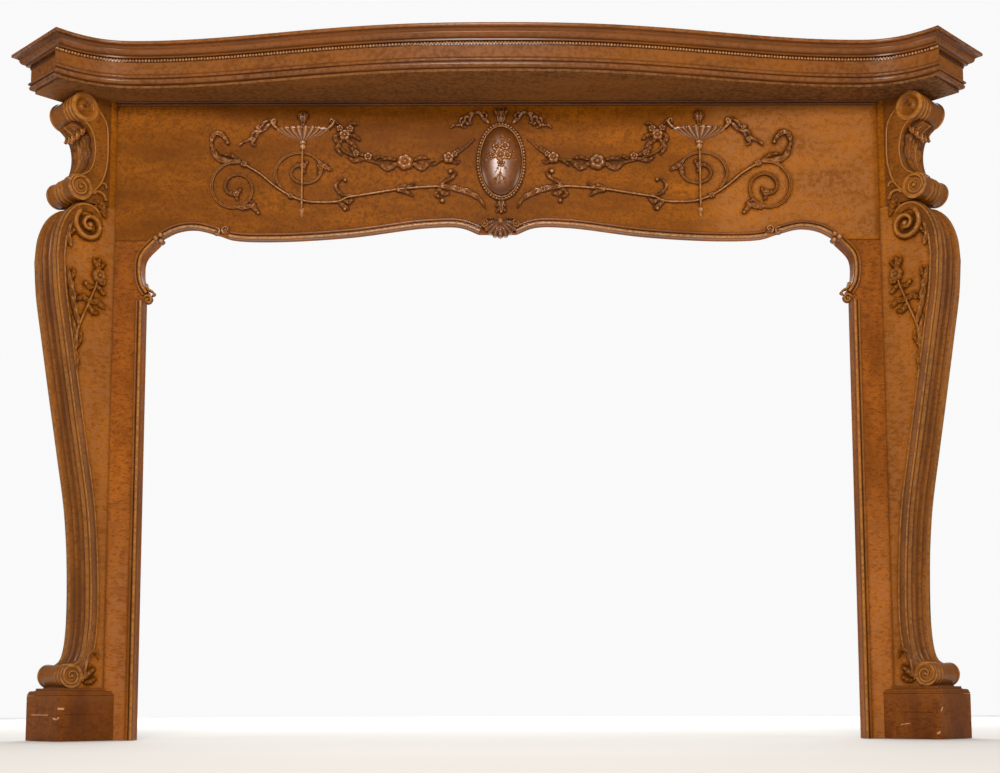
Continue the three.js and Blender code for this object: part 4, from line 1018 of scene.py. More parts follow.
@dataclass
class Opening:
    """The edge of the fire opening, left half: its lines, boards, mouldings and shell."""

    finishes: Finishes
    width: float = 17.0
    rise: float = 8.0
    ear_drop: float = 134.0
    ear_hollow: float = 5.0
    knot_inset: float = 30.0
    arch_span: float = 138.0
    arch_rise: float = 27.0
    sweep_dip: float = 4.0
    sweep_rise: float = 38.0
    shell_half_width: float = 42.0
    shell_rise: float = 16.0
    shell_depth: float = 41.0
    shell_aside: float = 6.0
    bead: float = 9.0
    frieze_grid: tuple = (560, 110)
    jamb_grid: tuple = (420, 34)

    @property
    def ear_bottom(self) -> float:
        """Height of the scroll under the ear."""
        return LAYOUT.jamb_height - self.ear_drop

    @property
    def knot_x(self) -> float:
        """Where the ear and the arch meet."""
        return -LAYOUT.opening_half_width + self.knot_inset

    @property
    def arch_end(self) -> float:
        """Where the arch ends and the sweep begins."""
        return self.knot_x + self.arch_span

    def ear_line(self) -> np.ndarray:
        """Hollow ear at the top of the jamb.

        Returns:
            Pairs of x and z.
        """
        edge, top = -LAYOUT.opening_half_width, LAYOUT.jamb_height
        return curve([
            (edge + self.width * 0.8, self.ear_bottom + 14), (edge, self.ear_bottom + 36),
            (edge - self.ear_hollow, top - 68), (edge - self.ear_hollow * 0.2, top - 36),
            (self.knot_x, top - LAYOUT.glue_line),
        ], 40)

    def arch_line(self) -> np.ndarray:
        """Low arch from the knot to the first scroll.

        Returns:
            Pairs of x and z.
        """
        top = LAYOUT.jamb_height
        return curve([
            (self.knot_x, top), (self.knot_x + self.arch_span * 0.3, top + self.arch_rise * 0.8),
            (self.knot_x + self.arch_span * 0.6, top + self.arch_rise),
            (self.arch_end, top + self.arch_rise * 0.5),
        ], 50)

    def sweep_line(self) -> np.ndarray:
        """Long sweep that dips beside the scroll and rises to the shell.

        Returns:
            Pairs of x and z.
        """
        top = LAYOUT.jamb_height
        span = -self.shell_half_width - self.arch_end
        return curve([
            (self.arch_end, top + self.arch_rise * 0.5), (self.arch_end + span * 0.05, top + self.sweep_dip),
            (self.arch_end + span * 0.2, top), (self.arch_end + span * 0.5, top + self.sweep_rise * 0.25),
            (self.arch_end + span * 0.8, top + self.sweep_rise * 0.83),
            (self.arch_end + span * 0.93, top + self.sweep_rise * 0.83),
            (-self.shell_half_width, top + self.shell_rise),
        ], 140)

    def edge_profile(self) -> np.ndarray:
        """Two rounds with a quirk between them: the larger one stands at the opening.

        Returns:
            Pairs of distance to the path's left and height over the face.
        """
        w, r = self.width, self.rise
        return np.concatenate([
            [[0, -0.6], [0, r * 0.3]],
            arc_profile((0.2, r * 0.4), (w * 0.5, r * 0.55), 0.36, 14),
            [[w * 0.53, r * 0.08], [w * 0.6, r * 0.08]],
            arc_profile((w * 0.63, r * 0.4), (w * 0.98, r * 0.35), 0.34, 10),
            [[w, 0.4], [w, -0.6]],
        ])

    def curl(self, carving: Carving, centre: tuple, radius: float, degrees: tuple) -> None:
        """Adds a small scroll: a reeded spiral stroke that winds onto a ball.

        Args:
            carving: what it is added to.
            centre: its eye.
            radius: reach of its first turn.
            degrees: first and last angle of the spiral.
        """
        path = spiral(centre, (radius, radius * 0.35), degrees, 34)
        carving.bloom(centre, radius * 1.05, 0, self.rise * 0.45)
        carving.stroke(path, (radius * 0.8, radius * 0.5), self.rise * 1.15)
        carving.bloom(centre, radius * 0.42, 0, self.rise * 1.3)

    def frieze(self, around: np.ndarray) -> None:
        """Makes the frieze board and the bead in the angle under the soffit.

        The board runs in rings from seam to seam: a column of points up its face from the edge
        line to the top, and two behind them. Shade is painted round the carving and in the corners under
        the soffit and at the seams, the joints are dark, and the wood darkens from the right end towards
        the middle and the left.

        Args:
            around: points of the carving on the board.
        """
        half = np.concatenate([self.arch_line(), self.sweep_line()[1:]])
        seam = LAYOUT.seam_x - LAYOUT.glue_line
        top = LAYOUT.under_soffit
        left = np.concatenate([[[-seam, LAYOUT.jamb_height]], half])
        line = np.concatenate([left, left[::-1] * [-1, 1]])
        x = np.linspace(-seam, seam, self.frieze_grid[0])
        low = np.interp(x, line[:, 0], line[:, 1])[:, None]
        share = np.linspace(0, 1, self.frieze_grid[1])[None, :] ** 1.2
        z = low + (top - low) * share
        where = np.stack([x[:, None] + 0 * z, z], axis=-1)
        # Painted shade round the carving, strongest where it is dense
        shade_and_dirt = closeness(where.reshape(-1, 2), around, 3.2).reshape(z.shape)
        reach = np.abs(x[:, None])
        # Dark joints under the soffit and at the seams, with painted shade in those corners
        shade_and_dirt = np.maximum(shade_and_dirt, 0.75 * np.exp(-np.minimum(np.abs(z - top), seam - reach) / 7))
        joint = np.where(reach > -self.knot_x, z - LAYOUT.jamb_height, 99.0)
        shade_and_dirt = np.maximum(shade_and_dirt, np.exp(-joint / 2.2))
        # A darker tone of the wood from the right end towards the middle and the left
        shade_and_dirt = np.maximum(shade_and_dirt, 0.68 * np.clip(1.2 - x[:, None] / 420, 0, 1) ** 0.5)
        relief = np.concatenate([1 - 0.95 * shade_and_dirt, np.full((len(x), 2), 0.5)], axis=1)
        z = np.concatenate([z, np.full_like(low, top), low], axis=1)
        up = np.where(np.arange(z.shape[1]) < share.size, -LAYOUT.glue_line,
                      -LAYOUT.frieze_board - LAYOUT.glue_line)
        carving = Carving()
        carving.add(board_face(x[:, None], z, up[None, :]), relief)
        carving.settle("frieze_panel", "panel", self.finishes.frieze, edge_degrees=20)
        bead = Carving()
        profile = np.concatenate([
            [[0.0, 0.0], [self.bead, 0.0]],
            arc_profile((self.bead, -self.bead * 0.1), (self.bead * 0.75, -self.bead * 0.5), -0.4, 8),
            [[self.bead * 0.45, -self.bead * 0.5]],
            arc_profile((self.bead * 0.5, -self.bead * 0.6), (self.bead * 0.1, -self.bead), -0.4, 8),
            [[0.0, -self.bead]],
        ])
        x = np.array([[-seam], [seam]])
        # Painted shade: the bead in the angle under the soffit is darkened
        bead.add(board_face(x, top + profile[:, 1][None, :], profile[:, 0][None, :]), 0.22)
        bead.settle("frieze_bead", "carving", self.finishes.carving)

    def jamb(self, side: Side) -> None:
        """Makes one jamb board and its moulding.

        The board's face is a grid from the seam to the opening's edge. Its joints are dark, with painted
        shade in the corner at the seam and along the moulding, and the board darkens towards the top.

        Args:
            side: the half of the mantel.
        """
        word = side.word
        edge, seam = -LAYOUT.opening_half_width, LAYOUT.seam_x - LAYOUT.glue_line
        ear = self.ear_line()
        inner = np.concatenate([[[edge, 0.0], [edge, self.ear_bottom]], ear])
        top = LAYOUT.jamb_height - LAYOUT.glue_line
        rows, columns = self.jamb_grid
        z = np.linspace(0, top, rows)
        far = np.interp(z, inner[:, 1], inner[:, 0])[:, None]
        x = -seam + (far + seam) * np.linspace(0, 1, columns)[None, :]
        near = np.stack([x + seam + 0.5, far - x - self.width + 1.5 + 0 * x, top - z[:, None] + 0 * x + 0.3])
        # Dark joints at the seam and the top, painted shade in the seam's corner and along the moulding
        shade_and_dirt = np.exp(-np.abs(near).min(axis=0) / 2.6)
        # The board darker towards the top
        shade_and_dirt = np.maximum(shade_and_dirt, 0.72 * np.clip(z[:, None] / 900 - 0.35, 0, 1) ** 0.7)
        board = Carving(side)
        low = -LAYOUT.board - LAYOUT.glue_line
        x = np.concatenate([x, far, np.full_like(far, -seam)], axis=1)
        up = np.where(np.arange(x.shape[1]) < columns, -LAYOUT.glue_line, low)
        relief = np.concatenate([1 - 0.95 * shade_and_dirt, np.full((len(z), 2), 0.5)], axis=1)
        board.add(board_face(x, z[:, None], up[None, :]), relief)
        board.settle(f"jamb_panel_{word}", "jamb", self.finishes.jamb, edge_degrees=20)
        trim = Carving(side)
        straight = np.array([[edge, 0.0], [edge, self.ear_bottom - 4]])
        trim.moulding(evenly(straight, 12), self.edge_profile())
        trim.moulding(ear[1:], self.edge_profile())
        low = self.ear_bottom
        steps = [(6, 36), (12, 22), (22, 16), (26, 10), (20, 6)]
        hook = curve([(edge + across, low + up) for across, up in steps], 40)
        trim.stroke(hook, (9, 5), self.rise * 1.25, sink=1.0)
        self.curl(trim, (edge + 12.0, low - 2.0), 10.0, (170, -250))
        trim.settle(f"jamb_moulding_{word}", "carving", self.finishes.upright)

    def mouldings(self, side: Side) -> None:
        """Makes the arch moulding and the sweep moulding of one half.

        Args:
            side: the half of the mantel.
        """
        word = side.word
        arch, sweep = self.arch_line(), self.sweep_line()
        top = LAYOUT.jamb_height
        first = Carving(side)
        first.moulding(arch[3:-3], self.edge_profile())
        for across, up in ((-3, 4), (7, 11), (9, -3)):
            first.bloom((self.knot_x + across, top + up), 8.0, 0, self.rise * 1.6)
        self.curl(first, (self.arch_end - 6, top + self.arch_rise * 0.5 + 6), 8.5, (120, -220))
        first.settle(f"arch_moulding_{word}", "carving", self.finishes.carving)
        second = Carving(side)
        second.moulding(sweep[5:], self.edge_profile())
        self.curl(second, (self.arch_end + 14, top + self.arch_rise * 0.5 + 10), 9.0, (250, -90))
        second.settle(f"sweep_moulding_{word}", "carving", self.finishes.carving)

    def shell(self) -> None:
        """Makes the shell over the middle.

        A fan is swept from left to right below its root; ribs are a cosine over the angle, and the
        height falls from the root to the scalloped rim. A ball and two curls finish it.
        """
        carving = Carving(aside=self.shell_aside)
        top = LAYOUT.jamb_height + self.shell_rise + self.shell_depth * 0.68
        ribs = 9
        angle = np.linspace(math.pi * 0.98, math.pi * 2.02, ribs * 8 + 1)[None, :]
        r = np.concatenate([[1.0], np.linspace(1.0, 0.1, 16)])[:, None]
        rib = 0.5 + 0.5 * np.cos((angle - math.pi) * 2 * ribs + math.pi)
        reach = 0.9 + 0.1 * rib**0.6
        x = (self.shell_half_width - 2) * r * reach * np.cos(angle)
        z = top - 4 + (self.shell_depth - 4) * r * reach * np.sin(angle)
        up = self.rise * (1.0 + 0.9 * np.sin(math.pi * np.clip(0.12 + r * 0.8, 0, 1)) + 0.45 * rib * r)
        up[0] = -0.6
        # Painted shade in the furrows between the ribs
        carving.add(board_face(x, z, up), 0.05 + 0.7 * rib + 0 * r)
        for sign in (-1, 1):
            turn = (90, 90 + sign * 400)
            path = spiral((sign * 36, top - 9), (9, 4), turn, 36)
            carving.stroke(path, (6, 4), self.rise * 1.9)
            carving.bloom((sign * 36, top - 9), 4, 0, self.rise * 2.1)
            leaf = curve([(sign * 3, top - 12), (sign * 14, top), (sign * 29, top + 3)], 20)
            carving.stroke(leaf, 10, self.rise * 1.9, Section.LEAF)
        carving.bloom((0, top - self.shell_depth + 7), 5.5, 0, self.rise * 2.5)
        carving.bloom((0, top - 3), 9, 0, self.rise * 2.2)
        carving.settle("shell", "carving", self.finishes.carving)

    def build(self, around: np.ndarray) -> None:
        """Makes the boards, the mouldings and the shell.

        Args:
            around: points of the carving on the frieze.
        """
        self.frieze(around)
        for side in Side:
            self.jamb(side)
            self.mouldings(side)
        self.shell()


# Frieze carving


@dataclass
class Medallion:
    """The oval boss with its ring of pearls, bouquet, crest and pendant."""

    finishes: Finishes
    height: float = 1289.0
    half_width: float = 49.0
    half_height: float = 84.0
    rise: float = 14.0
    ring: float = 6.0
    pearls: int = 62
    aside: float = 8.0

    def boss(self) -> np.ndarray:
        """Makes the domed oval and the bouquet on it.

        The oval's height is the root of one less the square of the share of its half axes, above a
        plain rim with a quirk.

        Returns:
            Its points.
        """
        carving = Carving(aside=self.aside)
        r = np.concatenate([[1, 1, 0.985, 0.96, 0.95, 0.94], np.linspace(0.93, 0.02, 16)])[:, None]
        angle = np.linspace(0, 2 * math.pi, 72, endpoint=False)[None, :]
        dome = 3.0 + (self.rise - 3.0) * np.sqrt(np.clip(1 - (r / 0.96) ** 2, 0, 1))
        edge = np.array([-0.6, 4.5, 5.6, 5.0, 3.0, 2.4])[:, None]
        up = np.concatenate([edge, dome[6:]]) + 0 * angle
        x = self.half_width * r * np.cos(angle)
        z = self.height + self.half_height * r * np.sin(angle)
        # Painted shade in the quirk inside the rim and on the dome's outer part under the bouquet, painted
        # highlight on the rim
        relief = np.concatenate([[0, 0.7, 1, 0.8, 0.0, 0.0], np.linspace(0.2, 0.6, 16)])[:, None]
        carving.add(board_face(x, z, up), relief + 0 * angle)
        ground = self.rise - 3.0
        h = self.height
        for centre, radius, petals in [
            ((-10, h + 30), 12, 5), ((9, h + 32), 12, 5), ((-2, h + 12), 16, 6), ((14, h + 10), 11, 5),
            ((-19, h + 11), 9, 5), ((0, h - 8), 10, 5),
        ]:
            carving.bloom(centre, radius, petals, 9.0, ground - 1.5)

        def crown(x: np.ndarray, z: np.ndarray, up: np.ndarray) -> np.ndarray:
            """A point over the dome's crown, which the leaves lie on."""
            return board_face(x, z, up + ground - 2.0)

        leaves = [
            ([(0, 38), (3, 50), (0, 62)], 13), ([(-6, 34), (-16, 44), (-18, 54)], 10),
            ([(8, 36), (17, 44), (19, 53)], 10), ([(-14, 4), (-28, -1), (-40, 3)], 10),
            ([(-14, 12), (-26, 16), (-35, 14)], 8), ([(14, 4), (26, 6), (38, -4)], 9),
            ([(14, 14), (26, 20), (34, 18)], 8), ([(-3, -8), (-10, -24), (-16, -34)], 10),
            ([(4, -8), (10, -22), (12, -36)], 10), ([(0, -12), (-3, -36), (-4, -58)], 13),
            ([(-4, -34), (-14, -46), (-12, -54)], 9), ([(-2, -34), (8, -44), (8, -54)], 9),
        ]
        for points, width in leaves:
            path = curve([(x, h + z) for x, z in points], 22)
            carving.on(crown).stroke(path, width * 1.25, 7.5, Section.LEAF)
        return carving.settle("medallion_boss", "carving", self.finishes.carving)

    def pearl_ring(self) -> np.ndarray:
        """Makes the ring of pearls: a low band with a half ball at every step round the oval.

        Returns:
            Its points.
        """
        carving = Carving(aside=self.aside)
        angle = np.linspace(0, 2 * math.pi, 120, endpoint=False)[:, None]
        profile = np.array([[0.3, -0.6], [0.4, 1.6], [3.3, 2.4], [6.0, 1.6], [6.3, -0.6]])
        x = (self.half_width + profile[:, 0]) * np.cos(angle)
        z = self.height + (self.half_height + profile[:, 0]) * np.sin(angle)
        # Painted shade: the band that the pearls sit on is darkened
        carving.add(board_face(x, z, profile[:, 1][None, :] + 0 * x), 0.1, joined=True)
        oval = np.stack([(self.half_width + 3.3) * np.cos(angle[:, 0]),
                         self.height + (self.half_height + 3.3) * np.sin(angle[:, 0])], axis=1)
        places = evenly(np.concatenate([oval, oval[:1]]), self.pearls + 1)[:-1]
        for place in places:
            carving.bloom(tuple(place), 3.5, 0, 5.4, 1.4)
        return carving.settle("medallion_pearls", "carving", self.finishes.carving)

    def crest(self) -> np.ndarray:
        """Makes the tulip over the ring.

        Returns:
            Its points.
        """
        carving = Carving(aside=self.aside)
        low = self.height + self.half_height + self.ring + 0.9
        cup = [(low, 5), (low + 3, 9), (low + 8, 12), (low + 13, 12), (low + 18, 9), (low + 21, 10)]
        carving.half_turning(0, cup, 4)
        for reach in (-15, -6, 6, 15):
            path = curve([(reach * 0.4, low + 12), (reach * 0.7, low + 23), (reach * 1.1, low + 34)], 18)
            carving.stroke(path, 9, 8, Section.LEAF, 2)
        carving.bloom((0, low + 24), 3.5, 0, 7)
        return carving.settle("crest", "carving", self.finishes.carving)

    def pendant(self) -> np.ndarray:
        """Makes the husk of leaves under the ring.

        Returns:
            Its points.
        """
        carving = Carving(aside=self.aside)
        high = self.height - self.half_height - self.ring - 0.9
        cup = [(high, 7), (high - 4, 11), (high - 9, 9), (high - 12, 6), (high - 20, 5), (high - 27, 2)]
        carving.half_turning(0, cup, 3)
        for reach in (-1, 1):
            for low, width in ((15, 8), (27, 8)):
                steps = [(2, 13), (7, 6), (12, 0)]
                path = curve([(reach * x, high - low + z) for x, z in steps], 16)
                carving.stroke(path, width, 7, Section.LEAF, 2)
        carving.bloom((0, high - 26), 4, 0, 7)
        return carving.settle("pendant", "carving", self.finishes.carving)

    def build(self) -> np.ndarray:
        """Makes the four pieces of the medallion and returns their points."""
        return np.concatenate([self.boss(), self.pearl_ring(), self.crest(), self.pendant()])


@dataclass
class FriezeCarving:
    """Ribbon, garland, torch and rinceau on one half of the frieze."""

    finishes: Finishes
    side: Side
    torch_x: float = -438.5
    stem: float = 6.5
    right_aside: float = 16.0
    rise: float = 8.0

    @property
    def aside(self) -> float:
        """How far the carving is set to the right: the right half was set a little off the middle."""
        return self.right_aside if self.side is Side.RIGHT else 0.0

    def ribbon(self) -> np.ndarray:
        """Makes the fluttering ribbon beside the crest.

        Returns:
            Its points.
        """
        carving = Carving(self.side, self.aside)
        loops = [
            ([(-17, 1378), (-30, 1388), (-40, 1402), (-52, 1404), (-60, 1392), (-64, 1380)], 9),
            ([(-52, 1404), (-66, 1398), (-74, 1386), (-66, 1376), (-56, 1382)], 7),
            ([(-62, 1392), (-76, 1394), (-84, 1384), (-80, 1372), (-70, 1368)], 7),
            ([(-74, 1384), (-84, 1374), (-96, 1374), (-108, 1368)], 7),
            ([(-28, 1386), (-24, 1396), (-30, 1404), (-36, 1398)], 6),
        ]
        for points, width in loops:
            carving.stroke(curve(points, 34), (width, width * 0.7), self.rise * 0.8, Section.RIBBON, 6)
        return carving.settle(f"ribbon_{self.side.word}", "carving", self.finishes.carving)

    def garland(self) -> np.ndarray:
        """Makes the garland that hangs from the torch's bowl to the medallion.

        Returns:
            Its points.
        """
        carving = Carving(self.side, self.aside)
        cord = curve([
            (-366, 1352), (-350, 1318), (-318, 1300), (-291, 1292), (-262, 1284), (-238, 1279),
            (-208, 1284), (-173, 1280), (-150, 1290), (-110, 1300), (-80, 1316), (-50, 1344),
        ], 130)
        carving.stroke(cord, 5.5, self.rise * 0.7, Section.REEDED)
        flowers = [
            ((-208, 1288), 18, 6, 10), ((-110, 1298), 13, 5, 8), ((-291, 1300), 10, 5, 7),
            ((-344, 1350), 13, 5, 9), ((-332, 1364), 9, 5, 8), ((-318, 1308), 8, 5, 7),
            ((-355, 1366), 8, 5, 7), ((-96, 1306), 7, 5, 6),
        ]
        for centre, radius, petals, rise in flowers:
            carving.bloom(centre, radius * 1.08, petals, rise * 1.3, 1.0)
        leaves = [
            ([(-226, 1286), (-246, 1274), (-268, 1284)], 15),
            ([(-228, 1292), (-244, 1296), (-262, 1294)], 10),
            ([(-190, 1286), (-172, 1274), (-150, 1286)], 14),
            ([(-188, 1292), (-172, 1298), (-154, 1296)], 10),
            ([(-300, 1302), (-318, 1312), (-334, 1326)], 13),
            ([(-300, 1296), (-320, 1292), (-338, 1300)], 12),
            ([(-350, 1340), (-360, 1322), (-350, 1304)], 12),
            ([(-340, 1338), (-326, 1330), (-316, 1318)], 12),
            ([(-352, 1356), (-366, 1346), (-362, 1330)], 10),
            ([(-334, 1352), (-320, 1348), (-308, 1338)], 10),
            ([(-122, 1294), (-136, 1288), (-146, 1278)], 9), ([(-98, 1304), (-86, 1318), (-74, 1322)], 9),
            ([(-104, 1290), (-92, 1286), (-84, 1292)], 8), ([(-340, 1370), (-326, 1378), (-316, 1374)], 9),
            ([(-276, 1294), (-266, 1300), (-254, 1298)], 8), ([(-358, 1376), (-368, 1384), (-378, 1376)], 8),
        ]
        carving.leaves(leaves, 24, 1.0, self.rise * 1.15)
        return carving.settle(f"garland_{self.side.word}", "carving", self.finishes.carving)

    def torch_and_rinceau(self) -> np.ndarray:
        """Makes the torch with its bow and the long scrolling stem.

        Returns:
            Its points.
        """
        carving = Carving(self.side, self.aside)
        self._torch(carving)
        self._stems(carving)
        self._leaves(carving)
        return carving.settle(f"torch_and_rinceau_{self.side.word}", "carving", self.finishes.carving)

    def _torch(self, carving: Carving) -> None:
        """Adds the fluted bowl, the flame, the staff and the bow to a carving.

        Args:
            carving: what they are added to.
        """
        x = self.torch_x
        bowl = [
            (1368, 57), (1366, 60), (1363, 58), (1358, 51), (1353, 43), (1348, 33), (1343, 21), (1340, 9),
            (1337, 5),
        ]
        carving.half_turning(x, bowl, 11, 0.3)
        knop = [(1338, 4), (1335, 8), (1332, 8), (1329, 4), (1327, 7), (1323, 7), (1319, 4)]
        carving.half_turning(x, knop, 0, 1.1)
        neck = [
            (1367, 7), (1372, 4), (1377, 4), (1380, 8), (1384, 6), (1388, 10), (1395, 11), (1402, 8),
            (1409, 1),
        ]
        carving.half_turning(x, neck, 3, 0.9)
        for sign in (-1, 1):
            flame = curve([(x + sign * 3, 1384), (x + sign * 9, 1394), (x + sign * 4, 1408)], 14)
            carving.stroke(flame, 7, 8, Section.LEAF, 2)
            lip = curve([(x + sign * 56, 1366), (x + sign * 64, 1372), (x + sign * 70, 1382),
                         (x + sign * 64, 1388), (x + sign * 60, 1380)], 26)
            carving.stroke(lip, (8, 5), self.rise)
        staff = np.array([[x, 1322.0], [x, 1178.0]])
        carving.stroke(evenly(staff, 30), self.stem, self.rise * 1.4)
        tip = [(1182, 3.5), (1179, 6.5), (1175, 6), (1171, 3), (1166, 4), (1162, 1)]
        carving.half_turning(x, tip, 0, 1.0)
        bows = [
            ([(-500, 1372), (-512, 1388), (-526, 1380), (-536, 1368), (-548, 1372)], 9),
            ([(-512, 1380), (-524, 1366), (-540, 1356), (-546, 1342), (-556, 1336)], 9),
            ([(-536, 1362), (-552, 1356), (-556, 1342), (-572, 1336), (-582, 1326)], 8),
            ([(-546, 1346), (-552, 1332), (-544, 1326)], 8),
        ]
        for points, width in bows:
            carving.stroke(curve(points, 34), (width, width * 0.6), self.rise * 0.8, Section.RIBBON, 5)
        for centre, radius in (((-538, 1368), 7), ((-550, 1340), 7), ((-506, 1380), 7)):
            carving.bloom(centre, radius, 4, self.rise * 0.9, 0.5)

    def _stems(self, carving: Carving) -> None:
        """Adds the volute, the spiral round the staff and the running stem to a carving.

        Args:
            carving: what they are added to.
        """
        volute = spiral((-588.4, 1229), (62, 14), (78, 640), 120)
        around = spiral((-438.3, 1267), (66, 15), (232, -275), 110, 0.82)
        joints = [
            (-577, 1290), (-569.6, 1284), (-534.5, 1262), (-497, 1231), (-464, 1210), (-431, 1198),
            (-394, 1195), (-356, 1197.6), (-337, 1206), (-304, 1212), (-272, 1217), (-230, 1224),
            (-182, 1228.7), (-136, 1231), (-126, 1229),
        ]
        carving.stroke(volute, (self.stem * 1.25, self.stem * 0.9), self.rise * 0.8, Section.REEDED)
        carving.stroke(around, (self.stem * 1.1, self.stem * 0.9), self.rise * 0.65, Section.REEDED)
        carving.stroke(curve(joints, 190), self.stem * 0.85, self.rise * 0.75)
        for path in (volute, around):
            a, b = path[-1]
            carving.bloom((a, b), 8, 5, self.rise, 0.5)
            carving.bloom((a, b), 4, 0, self.rise * 1.5)
            for degrees in (20, 140, 250):
                turn = math.radians(degrees)
                r = np.array([4.0, 11.0, 17.0])
                bend = turn + r * 0.04
                tuft = np.stack([a + r * np.cos(bend), b + r * np.sin(bend)], axis=1)
                carving.stroke(curve(tuft, 16), 9, self.rise, Section.LEAF, 2)
        for centre, radius in (((-569.6, 1284), 8), ((-464, 1210), 7)):
            carving.bloom(centre, radius, 4, self.rise * 1.1, 0.5)

    def _leaves(self, carving: Carving) -> None:
        """Adds the leaves, husks and curled tips along the stems to a carving.

        Args:
            carving: what they are added to.
        """
        leaves = [
            ([(-575, 1288), (-628, 1298), (-642, 1324), (-648, 1344)], 16, 4),
            ([(-645, 1334), (-638, 1354), (-622, 1354), (-610, 1340), (-606, 1332)], 14),
            ([(-577, 1290), (-600, 1304), (-622, 1306)], 9),
            ([(-584, 1184), (-566, 1184), (-548, 1192)], 13),
            ([(-566, 1188), (-550, 1186), (-536, 1170)], 13),
            ([(-560, 1200), (-548, 1194), (-540, 1182)], 8, 2),
            ([(-404, 1292), (-394, 1282), (-371, 1268)], 13),
            ([(-404, 1282), (-398, 1268), (-404, 1258)], 10),
            ([(-322, 1210), (-350, 1214), (-363, 1232), (-352, 1248), (-338, 1246)], 8, 2),
            ([(-358, 1198), (-344, 1186), (-334, 1178)], 12),
            ([(-350, 1202), (-334, 1196), (-322, 1204)], 11),
            ([(-228, 1224), (-212, 1233), (-196, 1229)], 10, 2),
            ([(-226, 1222), (-206, 1226), (-186, 1240)], 9, 2),
            ([(-224, 1222), (-206, 1219), (-190, 1208)], 9, 2),
            ([(-130, 1232), (-116, 1244), (-102, 1252), (-95, 1264), (-104, 1270)], 9, 2),
            ([(-134, 1232), (-98, 1228), (-62, 1217), (-38, 1200), (-28, 1181)], 17, 5),
            ([(-132, 1226), (-122, 1216), (-106, 1214)], 12),
            ([(-132, 1226), (-138, 1214), (-128, 1204)], 10),
        ]
        carving.leaves(leaves, 34, 1.1, self.rise * 1.15)
        balls = [
            ((-607, 1333), 4.5), ((-342, 1179), 4.5), ((-342, 1246), 4.5), ((-106, 1266), 6),
            ((-124, 1198), 5.5), ((-536, 1170), 4), ((-222, 1223), 5.5),
        ]
        for centre, radius in balls:
            carving.bloom(centre, radius, 0, self.rise * 1.1)

    def build(self) -> np.ndarray:
        """Makes the three pieces of this half and returns their points."""
        return np.concatenate([self.ribbon(), self.garland(), self.torch_and_rinceau()])


# Legs


def turned_roll(
    centre: tuple, profile: np.ndarray, sides: int = 44
) -> tuple[np.ndarray, np.ndarray]:
    """A roll lying across the leg, turned about its axis.

    Each ring is a circle in the leg's side plane at one distance across the leg.

    Args:
        centre: u and z of its axis.
        profile: pairs of distance across the leg and radius.
        sides: how many points a ring has.

    Returns:
        The rings and their relief, which is low in the hollows of the profile.
    """
    angle = np.linspace(0, 2 * math.pi, sides, endpoint=False)[None, :]
    w, r = profile[:, :1], profile[:, 1:]
    u = centre[0] + r * np.cos(angle)
    z = centre[1] + r * np.sin(angle)
    # Painted shade in the hollows of the profile, painted highlight on its reeds and rims
    mean = np.convolve(np.pad(profile[:, 1], 4, mode="edge"), np.ones(9) / 9, "valid")
    relief = np.clip(0.75 + (profile[:, 1] - mean) * 0.3, 0.05, 1)
    return leg_point(u, w + 0 * angle, z), relief[:, None] + 0 * angle


def roll_profile(
    radius: float, overhang: float, reeds: tuple, dish: float = 0.0, depth: float = 0.11
) -> np.ndarray:
    """Profile of a roll: an end face, a reeded barrel and the other end face.

    The barrel is plain and a little hollow, with a rim at each end and a run of reeds that are a
    cosine over their stretch. With a dish the end faces are sunk round a button.

    Args:
        radius: the roll's radius.
        overhang: how far it stands out beyond the leg on each side.
        reeds: where the reeds start and end, as shares of the roll's length, and their number.
        dish: depth of the sunk ring in the end faces.
        depth: depth of the hollows as a share of the radius.

    Returns:
        Pairs of distance across the leg and radius.
    """
    low, high = -overhang, LAYOUT.leg_width + overhang
    start, end, number = reeds
    share = np.linspace(0, 1, 110)
    wave = 0.5 - 0.5 * np.cos(2 * math.pi * number * (share - start) / (end - start))
    inside = (share > start) & (share < end)
    rim = np.exp(-((np.minimum(share, 1 - share) / 0.06) ** 4))
    plain = 0.42 - 0.2 * np.sin(math.pi * share)
    barrel = radius * (1 - depth + depth * np.maximum(rim, np.where(inside, wave**0.6, plain)))
    face = np.array([[dish * 0.2, 0.02], [dish * 0.3, 0.2], [dish * 0.6, 0.32], [dish, 0.38], [dish, 0.5],
                     [dish * 0.2, 0.58], [0.0, 0.66], [0.0, 0.8], [0.6, 0.9]])
    near = np.stack([low + face[:, 0], face[:, 1] * radius], axis=1)
    far = np.stack([high - face[:, 0], face[:, 1] * radius], axis=1)[::-1]
    body = np.stack([low + 1 + (high - low - 2) * share, barrel], axis=1)
    return np.concatenate([near, body, far])


